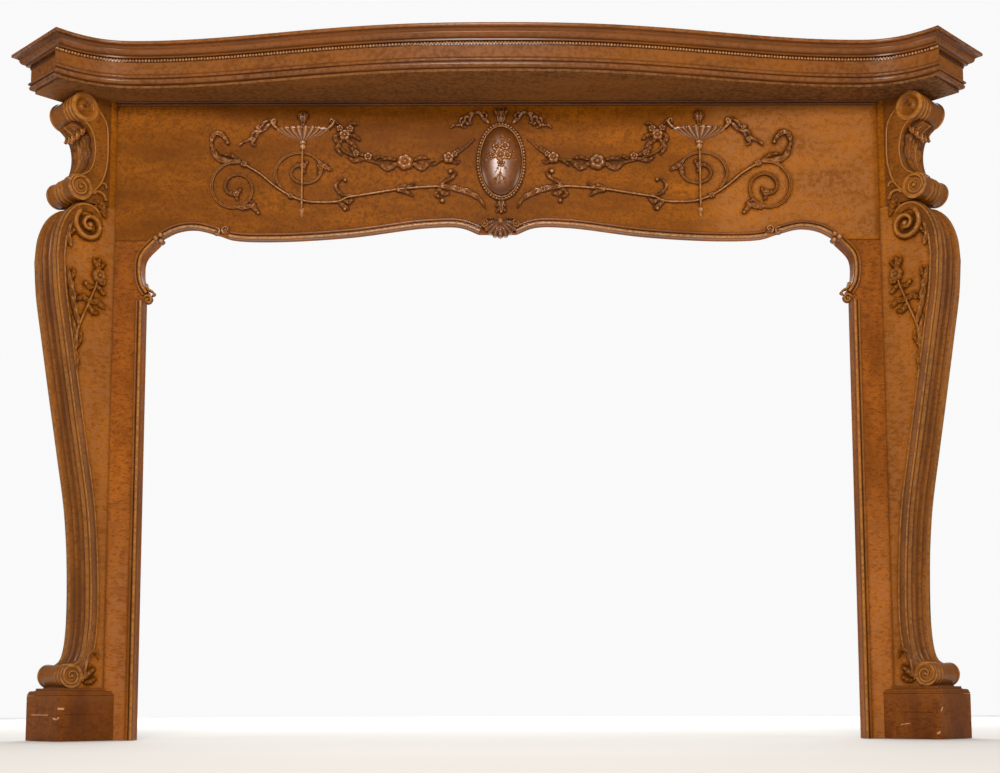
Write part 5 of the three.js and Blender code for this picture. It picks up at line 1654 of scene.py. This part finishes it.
@dataclass
class Leg:
    """One cabriole leg: core, reeded band, foot roll, head volute and carved sprays."""

    finishes: Finishes
    side: Side
    recess: float = 4.0
    band: float = 20.0
    flute: float = 6.0
    knee_reach: float = 143.0
    ankle_reach: float = 40.0
    knee_drop: float = 133.0
    ankle_rise: float = 190.0
    pilaster_reach: float = 14.0
    crown_reach: float = 48.0
    volute_radius: float = 33.0
    roll_radius: float = 26.0
    roll_reach: float = 77.0
    overhang: float = 2.0

    @property
    def knee(self) -> float:
        """Height of the knee."""
        return LAYOUT.leg_head - self.knee_drop

    @property
    def roll_centre(self) -> tuple:
        """u and z of the foot roll's axis."""
        return (self.roll_reach, LAYOUT.cap_top + LAYOUT.glue_line + self.roll_radius)

    def shin_line(self) -> np.ndarray:
        """Front line from the foot roll up to the knee.

        Returns:
            Pairs of u and z.
        """
        ankle = LAYOUT.cap_top + self.ankle_rise
        rise, swell = self.knee - ankle, self.knee_reach - self.ankle_reach
        centre = self.roll_centre
        shares = [(0.12, 0.25), (0.34, 0.43), (0.55, 0.59), (0.78, 0.77), (0.94, 0.9), (1.0, 1.0)]
        return curve([
            (centre[0] - 6, centre[1] + self.roll_radius - 3),
            (self.ankle_reach + 15, ankle - self.ankle_rise * 0.68),
            (self.ankle_reach + 3, ankle - self.ankle_rise * 0.42), (self.ankle_reach, ankle),
            *[(self.ankle_reach + swell * a, ankle + rise * b) for a, b in shares],
        ], 110)

    def head_line(self) -> np.ndarray:
        """The same line from the knee over the head and down behind it.

        Returns:
            Pairs of u and z.
        """
        top, knee, drop = LAYOUT.leg_head - LAYOUT.glue_line, self.knee, self.knee_drop
        return curve([
            (self.knee_reach, knee), (self.knee_reach - 6, knee + drop * 0.42),
            (self.knee_reach - 25, knee + drop * 0.76), (self.knee_reach - 50, knee + drop * 0.94),
            (self.knee_reach - 70, top - 1.5), (self.knee_reach - 92, top - 5),
            (self.pilaster_reach + 18, top - 22), (self.pilaster_reach + 13, top - 46),
        ], 70)

    def front_line(self) -> np.ndarray:
        """The whole front line, from the foot over the head."""
        return np.concatenate([self.shin_line(), self.head_line()[1:]])

    def band_section(self) -> np.ndarray:
        """Section of the band: reed, flute, fillet, wide flute, fillet, flute and reed.

        A reed is the top of an ellipse over its lane and a flute the bottom of one.

        Returns:
            Pairs of place across the leg and height over the band's front line.
        """
        lanes = np.array([0, 0.19, 0.21, 0.35, 0.38, 0.62, 0.65, 0.79, 0.81, 1.0])
        kind = np.array([1, 2, 0, 2, 0, 2, 0, 2, 1])
        x = np.linspace(0, 1, 91)
        lane = np.clip(np.searchsorted(lanes, x, side="right") - 1, 0, 8)
        t = 2 * (x - lanes[lane]) / (lanes[lane + 1] - lanes[lane]) - 1
        arch = np.sqrt(np.clip(1 - t**2, 0, 1))
        depth = np.where(kind[lane] == 1, -3.2 * (1 - arch), np.where(kind[lane] == 2, -3.0,
                         -3.0 - (self.flute - 1.5) * arch))
        front = np.stack([x * LAYOUT.leg_width, depth], axis=1)
        width = LAYOUT.leg_width
        return np.concatenate([[[0, -self.band]], front, [[width, -self.band]]])

    def clear_of_wall(self, rings: np.ndarray) -> np.ndarray:
        """Points behind the wall plane brought forward onto it."""
        return np.minimum(rings, [np.inf, LAYOUT.board, np.inf])

    def core(self, carving: Carving, around: np.ndarray) -> None:
        """Adds the flat sided shaft and the pilaster over it.

        A ring is the leg's footprint at one height: its inner side in small steps, front and outer
        side, the wall plane and the seam with the jamb. The front is the front line less half the
        band. Shade is painted on the inner side where carving is close.

        Args:
            carving: what they are added to.
            around: pairs of u and z under the carving of the inner side.
        """
        line = self.front_line()
        inner = line + left_normals(line) * self.band * 0.5
        rising = inner[: int(np.argmax(inner[:, 1])) + 1]
        bottom, head = LAYOUT.cap_top + LAYOUT.glue_line, LAYOUT.leg_head - 1
        z = np.linspace(bottom, head, 260)
        reach = np.interp(z, rising[:, 1], rising[:, 0])
        reach = np.where(z > rising[-1, 1], np.minimum(reach, self.crown_reach), reach)
        rings, where = self.footprint(reach, z)
        # Painted shade on the inner side round the carving
        shade_and_dirt = closeness(where.reshape(-1, 2), around, 4.0).reshape(where.shape[:2])
        relief = np.concatenate([1 - 0.9 * shade_and_dirt, np.full((len(z), 3), 0.8)], axis=1)
        carving.add(self.clear_of_wall(rings), relief, finish=1)
        z = np.array([LAYOUT.leg_head - 1, LAYOUT.under_soffit])
        rings, where = self.footprint(np.full(2, self.pilaster_reach), z)
        carving.add(self.clear_of_wall(rings), 0.6, finish=1)

    def footprint(self, reach: np.ndarray, z: np.ndarray) -> tuple[np.ndarray, np.ndarray]:
        """Rings of the core at heights with their forward reach.

        Args:
            reach: how far forward the core stands at each height.
            z: the heights.

        Returns:
            Array of heights by points by x, y and z, and the u and z of its inner side.
        """
        low, high = self.recess, LAYOUT.leg_width - self.recess
        back = LAYOUT.canted_board
        ones = np.ones_like(reach)
        outer = np.minimum(high, reach + back)
        share = np.linspace(0, 1, 44)[None, :]
        side = -low + (reach[:, None] + low) * share
        rest = np.stack([reach, np.minimum(high - back, reach), -back / 2 * ones], axis=1)
        u = np.concatenate([side, rest], axis=1)
        across = np.stack([outer, outer, back / 2 * ones], axis=1)
        w = np.concatenate([low + 0 * side, across], axis=1)
        return leg_point(u, w, z[:, None]), np.stack([side, z[:, None] + 0 * side], axis=-1)

    def build(self) -> None:
        """Makes the leg."""
        carving = Carving(self.side)
        self.side_mouldings(carving)
        self.sprays(carving)
        x, y, z = (np.concatenate(carving.points) * carving.mirror).T
        forward = (-(x + LAYOUT.seam_x) - y) * math.cos(CANT)
        self.core(carving, np.stack([forward, z], axis=1))
        line = self.front_line()
        section = self.band_section()
        normals = -left_normals(line)
        u = line[:, :1] + normals[:, :1] * section[:, 1]
        z = line[:, 1:] + normals[:, 1:] * section[:, 1]
        rings = leg_point(u, section[:, 0][None, :] + 0 * u, z)
        # Painted shade in the band's flutes, which get low relief
        relief = np.clip(0.9 + section[:, 1] / (2 * self.flute), 0.3, 1)[None, :] + 0 * u
        carving.add(self.clear_of_wall(rings), relief)
        across = np.array([[self.recess], [LAYOUT.leg_width - self.recess]])
        base = self.roll_centre[1] - self.roll_radius
        foot = np.array([(-14, 0), (14, 0), (10, 9), (-14, 9)]) + [self.roll_reach, base]
        # Painted shade: the block under the foot roll is darkened
        carving.add(leg_point(foot[:, 0][None, :], across, foot[:, 1][None, :]), 0.2)
        profile = roll_profile(self.roll_radius, self.overhang, (0.08, 0.34, 2))
        carving.add(*turned_roll(self.roll_centre, profile))
        node = f"leg_{self.side.word}"
        carving.settle(node, "panel", self.finishes.upright, self.finishes.leg)

    def side_mouldings(self, carving: Carving) -> None:
        """Adds the bead beside the band, the head's volute and the foot's spiral.

        Args:
            carving: what they are added to.
        """
        line = self.front_line()
        inner = line + left_normals(line) * (self.band + 3)
        side = leg_side(self.recess)
        carving.on(side).stroke(inner[4:-34], 6.5, 3.2, sink=1.5)
        edge = line + left_normals(line) * 5
        carving.on(leg_side(0.0)).stroke(edge[6:-8], 7, 2.0, sink=1.5)
        eye = (self.pilaster_reach + 49, LAYOUT.leg_head - 52)
        turns = spiral(eye, (self.volute_radius + 4, 7), (60, -480), 120)
        carving.on(side).stroke(turns, (15, 9), self.recess + 7, sink=1.5)
        carving.on(side).bloom(eye, 8, 0, self.recess + 8)
        curl = spiral(self.roll_centre, (self.roll_radius - 4, 5), (70, -420), 90)
        carving.on(leg_side(-self.overhang)).stroke(curl, (8, 5), 3.0)
        carving.on(leg_side(-self.overhang)).bloom(self.roll_centre, 5, 0, 3.4)

    def sprays(self, carving: Carving) -> None:
        """Adds the flower spray, the leaves behind the volute and those at the foot.

        Args:
            carving: what they are added to.
        """
        side = leg_side(self.recess)
        k, f = self.knee, LAYOUT.cap_top
        stem = curve([(36, k - 24), (42, k - 50), (58, k - 92), (80, k - 146), (92, k - 190)], 60)
        carving.on(side).stroke(stem, (5, 8), 4)
        carving.on(side).bloom((36, k - 28), 17, 6, 11, 0.5)
        carving.on(side).bloom((28, k - 40), 10, 5, 8, 0.5)
        leaves = [
            ([(35, k - 14), (38, k + 2), (32, k + 14)], 11), ([(38, k - 14), (46, k + 0), (50, k + 8)], 9),
            ([(33, k - 12), (24, k + 0), (20, k + 4)], 9), ([(44, k - 50), (30, k - 60), (26, k - 70)], 11),
            ([(46, k - 56), (58, k - 58), (68, k - 52)], 11),
            ([(58, k - 92), (38, k - 88), (20, k - 100)], 16),
            ([(56, k - 90), (74, k - 84), (88, k - 92)], 15),
            ([(60, k - 98), (48, k - 112), (32, k - 112)], 12),
            ([(82, k - 148), (92, k - 110), (106, k - 72)], 15),
            ([(92, k - 96), (104, k - 56), (112, k - 24)], 15),
            ([(104, k - 52), (98, k - 36), (98, k - 22)], 10),
            ([(106, k + 24), (112, k + 52), (104, k + 84)], 15),
            ([(108, k + 50), (98, k + 66), (94, k + 78)], 10),
            ([(88, k - 206), (88, k - 170), (98, k - 130)], 14),
            ([(84, k - 196), (76, k - 176), (80, k - 156)], 10),
            ([(84, k - 250), (84, k - 218), (92, k - 196)], 10),
            ([(46, k + 141), (36, k + 138), (23, k + 124)], 12),
            ([(38, k + 139), (30, k + 138), (22, k + 134)], 8),
            ([(42, k + 131), (32, k + 126), (22, k + 115)], 10),
            ([(38, k + 120), (30, k + 116), (22, k + 107)], 9),
            ([(50, f + 14), (44, f + 44), (36, f + 74), (20, f + 80), (12, f + 62)], 16),
            ([(46, f + 20), (32, f + 34), (18, f + 44)], 13),
            ([(46, f + 12), (30, f + 14), (16, f + 24)], 11),
        ]
        carving.on(side).leaves(leaves, 24, 1.1, 8.5)
        for hook, width in (
            ([(56, k + 154), (46, k + 162), (32, k + 160), (24, k + 150)], 8),
            ([(40, k + 178), (34, k + 184), (26, k + 182), (23, k + 173)], 6),
        ):
            carving.on(side).stroke(curve(hook, 30), width, 6.0)
        for centre in ((24, k + 149), (68, k - 52), (24, k - 66)):
            carving.on(side).bloom(centre, 5, 0, 6.5)


@dataclass
class Corbel:
    """The double scroll under the shelf: two rolls, a hollow strap and a leaf."""

    finishes: Finishes
    side: Side
    upper_radius: float = 32.7
    upper_reach: float = 82.0
    lower_radius: float = 29.0
    lower_reach: float = 88.0
    back: float = 20.0
    hollow: float = 58.0
    overhang: float = 2.0

    @property
    def upper(self) -> tuple:
        """u and z of the upper roll's axis."""
        return (self.upper_reach, LAYOUT.under_soffit - self.upper_radius)

    @property
    def lower(self) -> tuple:
        """u and z of the lower roll's axis."""
        return (self.lower_reach, LAYOUT.on_leg + self.lower_radius)

    def at(self, share: float) -> float:
        """A height between the rolls' axes, by its share."""
        return self.lower[1] + (self.upper[1] - self.lower[1]) * share

    def front_line(self) -> np.ndarray:
        """Hollow front of the strap, from the lower roll up.

        Returns:
            Pairs of u and z.
        """
        return curve([
            (self.lower[0] + 10, self.lower[1] + 24), (self.hollow + 10, self.at(0.26)),
            (self.hollow, self.at(0.5)), (self.hollow + 10, self.at(0.72)),
            (self.upper[0] + 12, self.upper[1] - 28),
        ], 60)

    def back_line(self) -> np.ndarray:
        """Back of the strap, from the upper roll down.

        Returns:
            Pairs of u and z.
        """
        return curve([
            (self.upper[0] - 34, self.at(1.04)), (self.back + 5, self.at(0.86)), (self.back, self.at(0.6)),
            (self.back + 2, self.at(0.34)), (self.back + 16, self.at(0.1)),
            (self.lower[0] - 20, self.lower[1] - 20),
        ], 60)

    def build(self) -> None:
        """Makes the corbel."""
        carving = Carving(self.side)
        outline = np.concatenate([self.front_line(), [self.upper], self.back_line(), [self.lower]])
        w = np.array([[0.0], [LAYOUT.leg_width]])
        strap = leg_point(outline[:, 0][None, :], w, outline[:, 1][None, :])
        carving.add(Leg(self.finishes, self.side).clear_of_wall(strap), 0.42)
        above = roll_profile(self.upper_radius, self.overhang, (0.08, 0.46, 3), 8.0)
        below = roll_profile(self.lower_radius, self.overhang, (0.28, 0.72, 3))
        carving.add(*turned_roll(self.upper, above))
        carving.add(*turned_roll(self.lower, below))
        face = leg_side(0.0)
        back, front = self.back_line(), self.front_line()
        carving.on(face).stroke(back[2:-4] + left_normals(back)[2:-4] * 3, (5, 6), 2.6, sink=1.5)
        carving.on(face).stroke(front + left_normals(front) * 4, 5, 2.4, sink=1.5)
        end = leg_side(-self.overhang)
        curl = spiral(self.lower, (self.lower_radius - 4, 6), (120, -330), 90)
        carving.on(end).stroke(curl, (8, 5), 3.0)
        carving.on(end).bloom(self.lower, 6, 0, 3.6)
        self.leaf(carving)
        self.core(carving)
        node = f"corbel_{self.side.word}"
        carving.settle(node, "carving", self.finishes.upright)

    def core(self, carving: Carving) -> None:
        """Adds the block behind the strap, seen from the side.

        Args:
            carving: what it is added to.
        """
        leg = Leg(self.finishes, self.side)
        bottom, top = LAYOUT.on_leg, LAYOUT.under_soffit
        z = np.linspace(bottom, top, 30)
        line = np.array([(self.lower[0] - 6, bottom), (self.hollow - 8, self.at(0.5)), (self.upper[0], top)])
        reach = np.interp(z, line[:, 1], line[:, 0])
        low, high = leg.recess, LAYOUT.leg_width - leg.recess
        front = leg.pilaster_reach + LAYOUT.glue_line
        back = LAYOUT.canted_board
        outer = np.minimum(high, reach + back)
        ones = np.ones_like(reach)
        u = np.stack([front * ones, reach, reach, front * ones], axis=1)
        w = np.stack([low * ones, low * ones, outer, min(high, front + back) * ones], axis=1)
        # Painted shade: the block behind the strap is darkened
        carving.add(leg.clear_of_wall(leg_point(u, w, z[:, None])), 0.3)

    def leaf(self, carving: Carving) -> None:
        """Adds the acanthus leaf that lies in the hollow.

        Over the front line, s runs up it and t across the leg. The half width grows from a point to
        its fullest at two thirds and is notched by lobes; the height is a dome with a rib and
        flutes that fan out from the foot, and the tips of the top lobes turn over and hang down.

        Args:
            carving: what it is added to.
        """
        line = self.front_line()
        normals = -left_normals(line)
        s = np.linspace(0, 1, len(line))[:, None]
        t = np.linspace(-1, 1, 45)[None, :]
        notch = np.abs(np.sin(math.pi * 5 * s)) ** 0.7
        half = 42 * np.sin(math.pi * np.clip(0.08 + 0.66 * s, 0, 1)) ** 0.9 * (0.78 + 0.22 * notch)
        ribs = 0.5 + 0.5 * np.cos(2 * math.pi * 3.5 * t)
        veins = 0.5 + 0.5 * np.cos(2 * math.pi * 5 * (s - 0.2 * np.abs(t)))
        fan = 3 + 5 * ribs + 4 * veins * np.abs(t)
        height = (1 - np.abs(t) ** 4) * fan + 3 * np.exp(-((t / 0.12) ** 2))
        lift = height * (0.4 + 0.6 * s**0.5) + 7 * s**3
        middle = LAYOUT.leg_width / 2
        lift = np.concatenate([lift, np.full((len(line), 2), -4.0)], axis=1)
        across = middle + np.concatenate([t * half, half, -half], axis=1)
        u = line[:, :1] + normals[:, :1] * lift
        z = line[:, 1:] + normals[:, 1:] * lift
        relief = np.clip(np.concatenate([height / 11, np.zeros((len(line), 2))], axis=1), 0, 1)
        carving.add(leg_point(u, across, z), relief)
        top = line[-12]

        def over(a: np.ndarray, b: np.ndarray, up: np.ndarray) -> np.ndarray:
            """A point before the leaf's top, leaning out towards its tip."""
            return leg_point(top[0] + 3 - 0.35 * b + up, middle + a, top[1] + b)

        for place, drop in ((-33, 14), (-17, 20), (17, 20), (33, 14), (0, 26)):
            tip = curve([(place * 0.8, 12), (place, 0), (place * 1.12, -drop)], 20)
            carving.on(over).stroke(tip, 20, 9, Section.LEAF, 2)


@dataclass
class Plinth:
    """One plinth block and its stepped cap."""

    finishes: Finishes
    side: Side
    reach: float = 117.4
    margin: float = 17.0
    height: float = 96.0
    cap_height: float = 15.5

    def rings(self, profile: np.ndarray) -> np.ndarray:
        """Footprints stepped in from the block's faces.

        The corners are the inner side's back, the two front corners, the outer side's back and two
        on the seam with the jamb.

        Args:
            profile: pairs of inset and height.

        Returns:
            Array of heights by six corners by x, y and z.
        """
        i, z = profile[:, :1], profile[:, 1:]
        gap = LAYOUT.glue_line / math.cos(CANT)
        back = LAYOUT.canted_board
        low, high = -self.margin + i, LAYOUT.leg_width + self.margin - i
        front = self.reach - i
        u = np.concatenate([low + gap, front, front, high - back, -back / 2 + 0 * i, gap / 2 + 0 * i], axis=1)
        w = np.concatenate([low, low, high, high, back / 2 + 0 * i, -gap / 2 + 0 * i], axis=1)
        return leg_point(u, w, z + 0 * u)

    def marks(self, faces: np.ndarray, level: np.ndarray) -> np.ndarray:
        """Marks of the block: darker towards the bottom, paler towards the top, rubbed at the front corners,
        with scratches.

        Args:
            faces: points by height, face and place along the face.
            level: the heights.

        Returns:
            The relief of each point; above 1 the bare wood shows.
        """
        relief = 0.45 + 0.35 * (level / self.height)[:, None, None] + 0 * faces[..., 0]
        along = np.linalg.norm(faces - faces[:, :, :1], axis=-1)
        where = np.stack([along, level[:, None, None] + 0 * along], axis=-1)
        corner = self.reach + self.margin
        left = [(0, (corner - 15, 68), (corner - 3, 68.5), 3), (0, (corner - 4, 49), (corner, 46), 3),
                (1, (2, 46), (16, 48), 3), (1, (38, 55), (108, 55.5), 1.6)]
        right = [(0, (corner - 9, 12), (corner, 16), 4), (1, (3, 60), (9, 66), 3),
                 (0, (40, 30), (62, 33), 1.6)]
        for face, start, end, width in left if self.side is Side.LEFT else right:
            relief[:, face] += 0.8 * streak(where[:, face], start, end, width)
        line = streak(where[:, 0], (32, 57), (corner - 18, 56), 1.8)
        relief[:, 0] *= 1 - 0.8 * line
        return relief

    def build(self) -> None:
        """Makes the block and the cap."""
        word = self.side.word
        block = Carving(self.side)
        level = np.concatenate([[0.0], np.linspace(0.8, self.height - 0.8, 60), [self.height]])
        inset = np.where((level == 0) | (level == self.height), 0.8, 0.0)
        corners = self.rings(np.stack([inset, level], axis=1))
        share = np.linspace(0, 1, 60, endpoint=False)[None, None, :, None]
        after = np.roll(corners, -1, axis=1)[:, :, None]
        faces = corners[:, :, None] * (1 - share) + after * share
        block.add(faces.reshape(len(level), -1, 3), self.marks(faces, level).reshape(len(level), -1))
        block.settle(f"plinth_{word}", "shelf", self.finishes.plinth)
        low = self.height + LAYOUT.glue_line
        step, h = self.margin * 0.8, self.cap_height
        profile = np.concatenate([
            [[1.6, low], [0.2, low + 0.4], [0.2, low + h * 0.2], [1.6, low + h * 0.22]],
            arc_profile((1.7, low + h * 0.24), (step * 0.66, low + h * 0.62), 0.28, 9),
            [[step * 0.74, low + h * 0.63]],
            arc_profile((step * 0.76, low + h * 0.66), (step, low + h * 0.84), -0.25, 6),
            [[step, low + h]],
        ])
        relief = np.full(len(profile), 0.8)
        # Painted shade: dark lines under the cap, over its fillet and in its quirk
        relief[[0, 3, 13]] = 0.05
        cap = Carving(self.side)
        cap.add(self.rings(profile), relief[:, None])
        cap.settle(f"plinth_cap_{word}", "shelf", self.finishes.plinth)


# Studio


@dataclass
class Studio:
    """Pale floor, soft light and a camera at the photograph's angle."""

    lens: float = 54.0
    pitch: float = 0.108
    yaw: float = 0.0019
    roll: float = -0.0026
    shift: float = 0.156
    place: tuple = (-2.9, -3263.7, 73.6)
    floor_colour: str = "#F4F2EE"
    floor_near: float = 9.0
    floor_far: float = 6.6
    key_watts: float = 105.0
    side_watts: float = 20.0
    wash_watts: float = 300.0
    room: float = 0.22
    backdrop: float = 0.95

    def build(self) -> None:
        """Makes the floor, the lights, the world and the camera."""
        self._floor()
        aim = (0.0, 0.0, 0.8)
        self._light("key_softbox", (-0.2, -3.8, 2.6), aim, 1.1, self.key_watts, "#FFF9F2")
        self._light("right_softbox", (3.0, -2.4, 1.2), aim, 1.2, self.side_watts, "#FFF8F0")
        self._light("left_softbox", (-3.0, -2.4, 1.4), aim, 1.2, self.side_watts, "#FFF8F0")
        self._light("wall_wash", (0.0, 4.5, 3.4), (0.0, 4.6, 0.0), 5.0, self.wash_watts, "#FFFFFF")
        world = bpy.data.worlds.new("studio_air")
        world.use_nodes = True
        tree = world.node_tree
        seen = add_node(tree, "ShaderNodeLightPath").outputs["Is Camera Ray"]
        # The camera sees a white wall, the mantel only a dim room
        strength = add_node(tree, "ShaderNodeMapRange", {"Value": seen, 3: self.room, 4: self.backdrop})
        tree.links.new(strength.outputs[0], tree.nodes["Background"].inputs["Strength"])
        tree.nodes["Background"].inputs["Color"].default_value = linear("#FFFFFF")
        bpy.context.scene.world = world
        bpy.context.scene.view_settings.view_transform = "Standard"
        self._camera()

    def _floor(self) -> None:
        """Lays a wide pale floor just under the mantel."""
        material = bpy.data.materials.new("pale_studio_floor")
        material.use_nodes = True
        shader = material.node_tree.nodes["Principled BSDF"]
        shader.inputs["Base Color"].default_value = linear(self.floor_colour)
        shader.inputs["Roughness"].default_value = 0.8
        mesh = bpy.data.meshes.new("floor")
        near, far = self.floor_near, self.floor_far
        corners = [(-near, -near, 0), (near, -near, 0), (near, far, 0), (-near, far, 0)]
        mesh.from_pydata(corners, [], [(0, 1, 2, 3)])
        mesh.materials.append(material)
        floor = bpy.data.objects.new("floor", mesh)
        floor.location.z = -0.0005
        bpy.context.scene.collection.objects.link(floor)

    def _light(self, name: str, place: tuple, target: tuple, size: float, watts: float, colour: str) -> None:
        """Hangs one square softbox, turned towards a target.

        Args:
            name: the lamp's name.
            place: where it hangs, in metres.
            target: what it is turned towards.
            size: length of its edge.
            watts: its power.
            colour: its colour as sRGB hex.
        """
        lamp = bpy.data.lights.new(name, "AREA")
        lamp.size = size
        lamp.energy = watts
        lamp.color = linear(colour)[:3]
        hung = bpy.data.objects.new(name, lamp)
        hung.location = place
        direction = np.array(target) - np.array(place)
        flat = math.hypot(direction[0], direction[1])
        hung.rotation_euler = (math.atan2(flat, -direction[2]), 0.0, math.atan2(-direction[0], direction[1]))
        bpy.context.scene.collection.objects.link(hung)

    def _camera(self) -> None:
        """Sets the camera low in front, turned up by the pitch, with the view shifted upwards."""
        lens = bpy.data.cameras.new("portrait")
        lens.lens = self.lens
        lens.sensor_width = 36.0
        lens.shift_y = self.shift
        camera = bpy.data.objects.new("portrait", lens)
        camera.location = LAYOUT.to_frame(np.array(self.place))
        turn = Matrix.Rotation(-self.yaw, 3, "Z") @ Matrix.Rotation(math.pi / 2 + self.pitch, 3, "X")
        camera.rotation_euler = (turn @ Matrix.Rotation(self.roll, 3, "Z")).to_euler()
        bpy.context.scene.collection.objects.link(camera)
        bpy.context.scene.camera = camera


def main() -> None:
    """Builds the mantel piece by piece, then the studio."""
    logging.basicConfig(level=logging.INFO, format="%(name)s %(message)s")
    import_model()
    finishes = Finishes()
    Cornice(finishes).build()
    around = [Medallion(finishes).build()]
    for side in Side:
        around.append(FriezeCarving(finishes, side).build())
        Leg(finishes, side).build()
        Corbel(finishes, side).build()
        Plinth(finishes, side).build()
    Opening(finishes).build(np.concatenate(around)[:, [0, 2]])
    Studio().build()


if __name__ == "__main__":
    main()
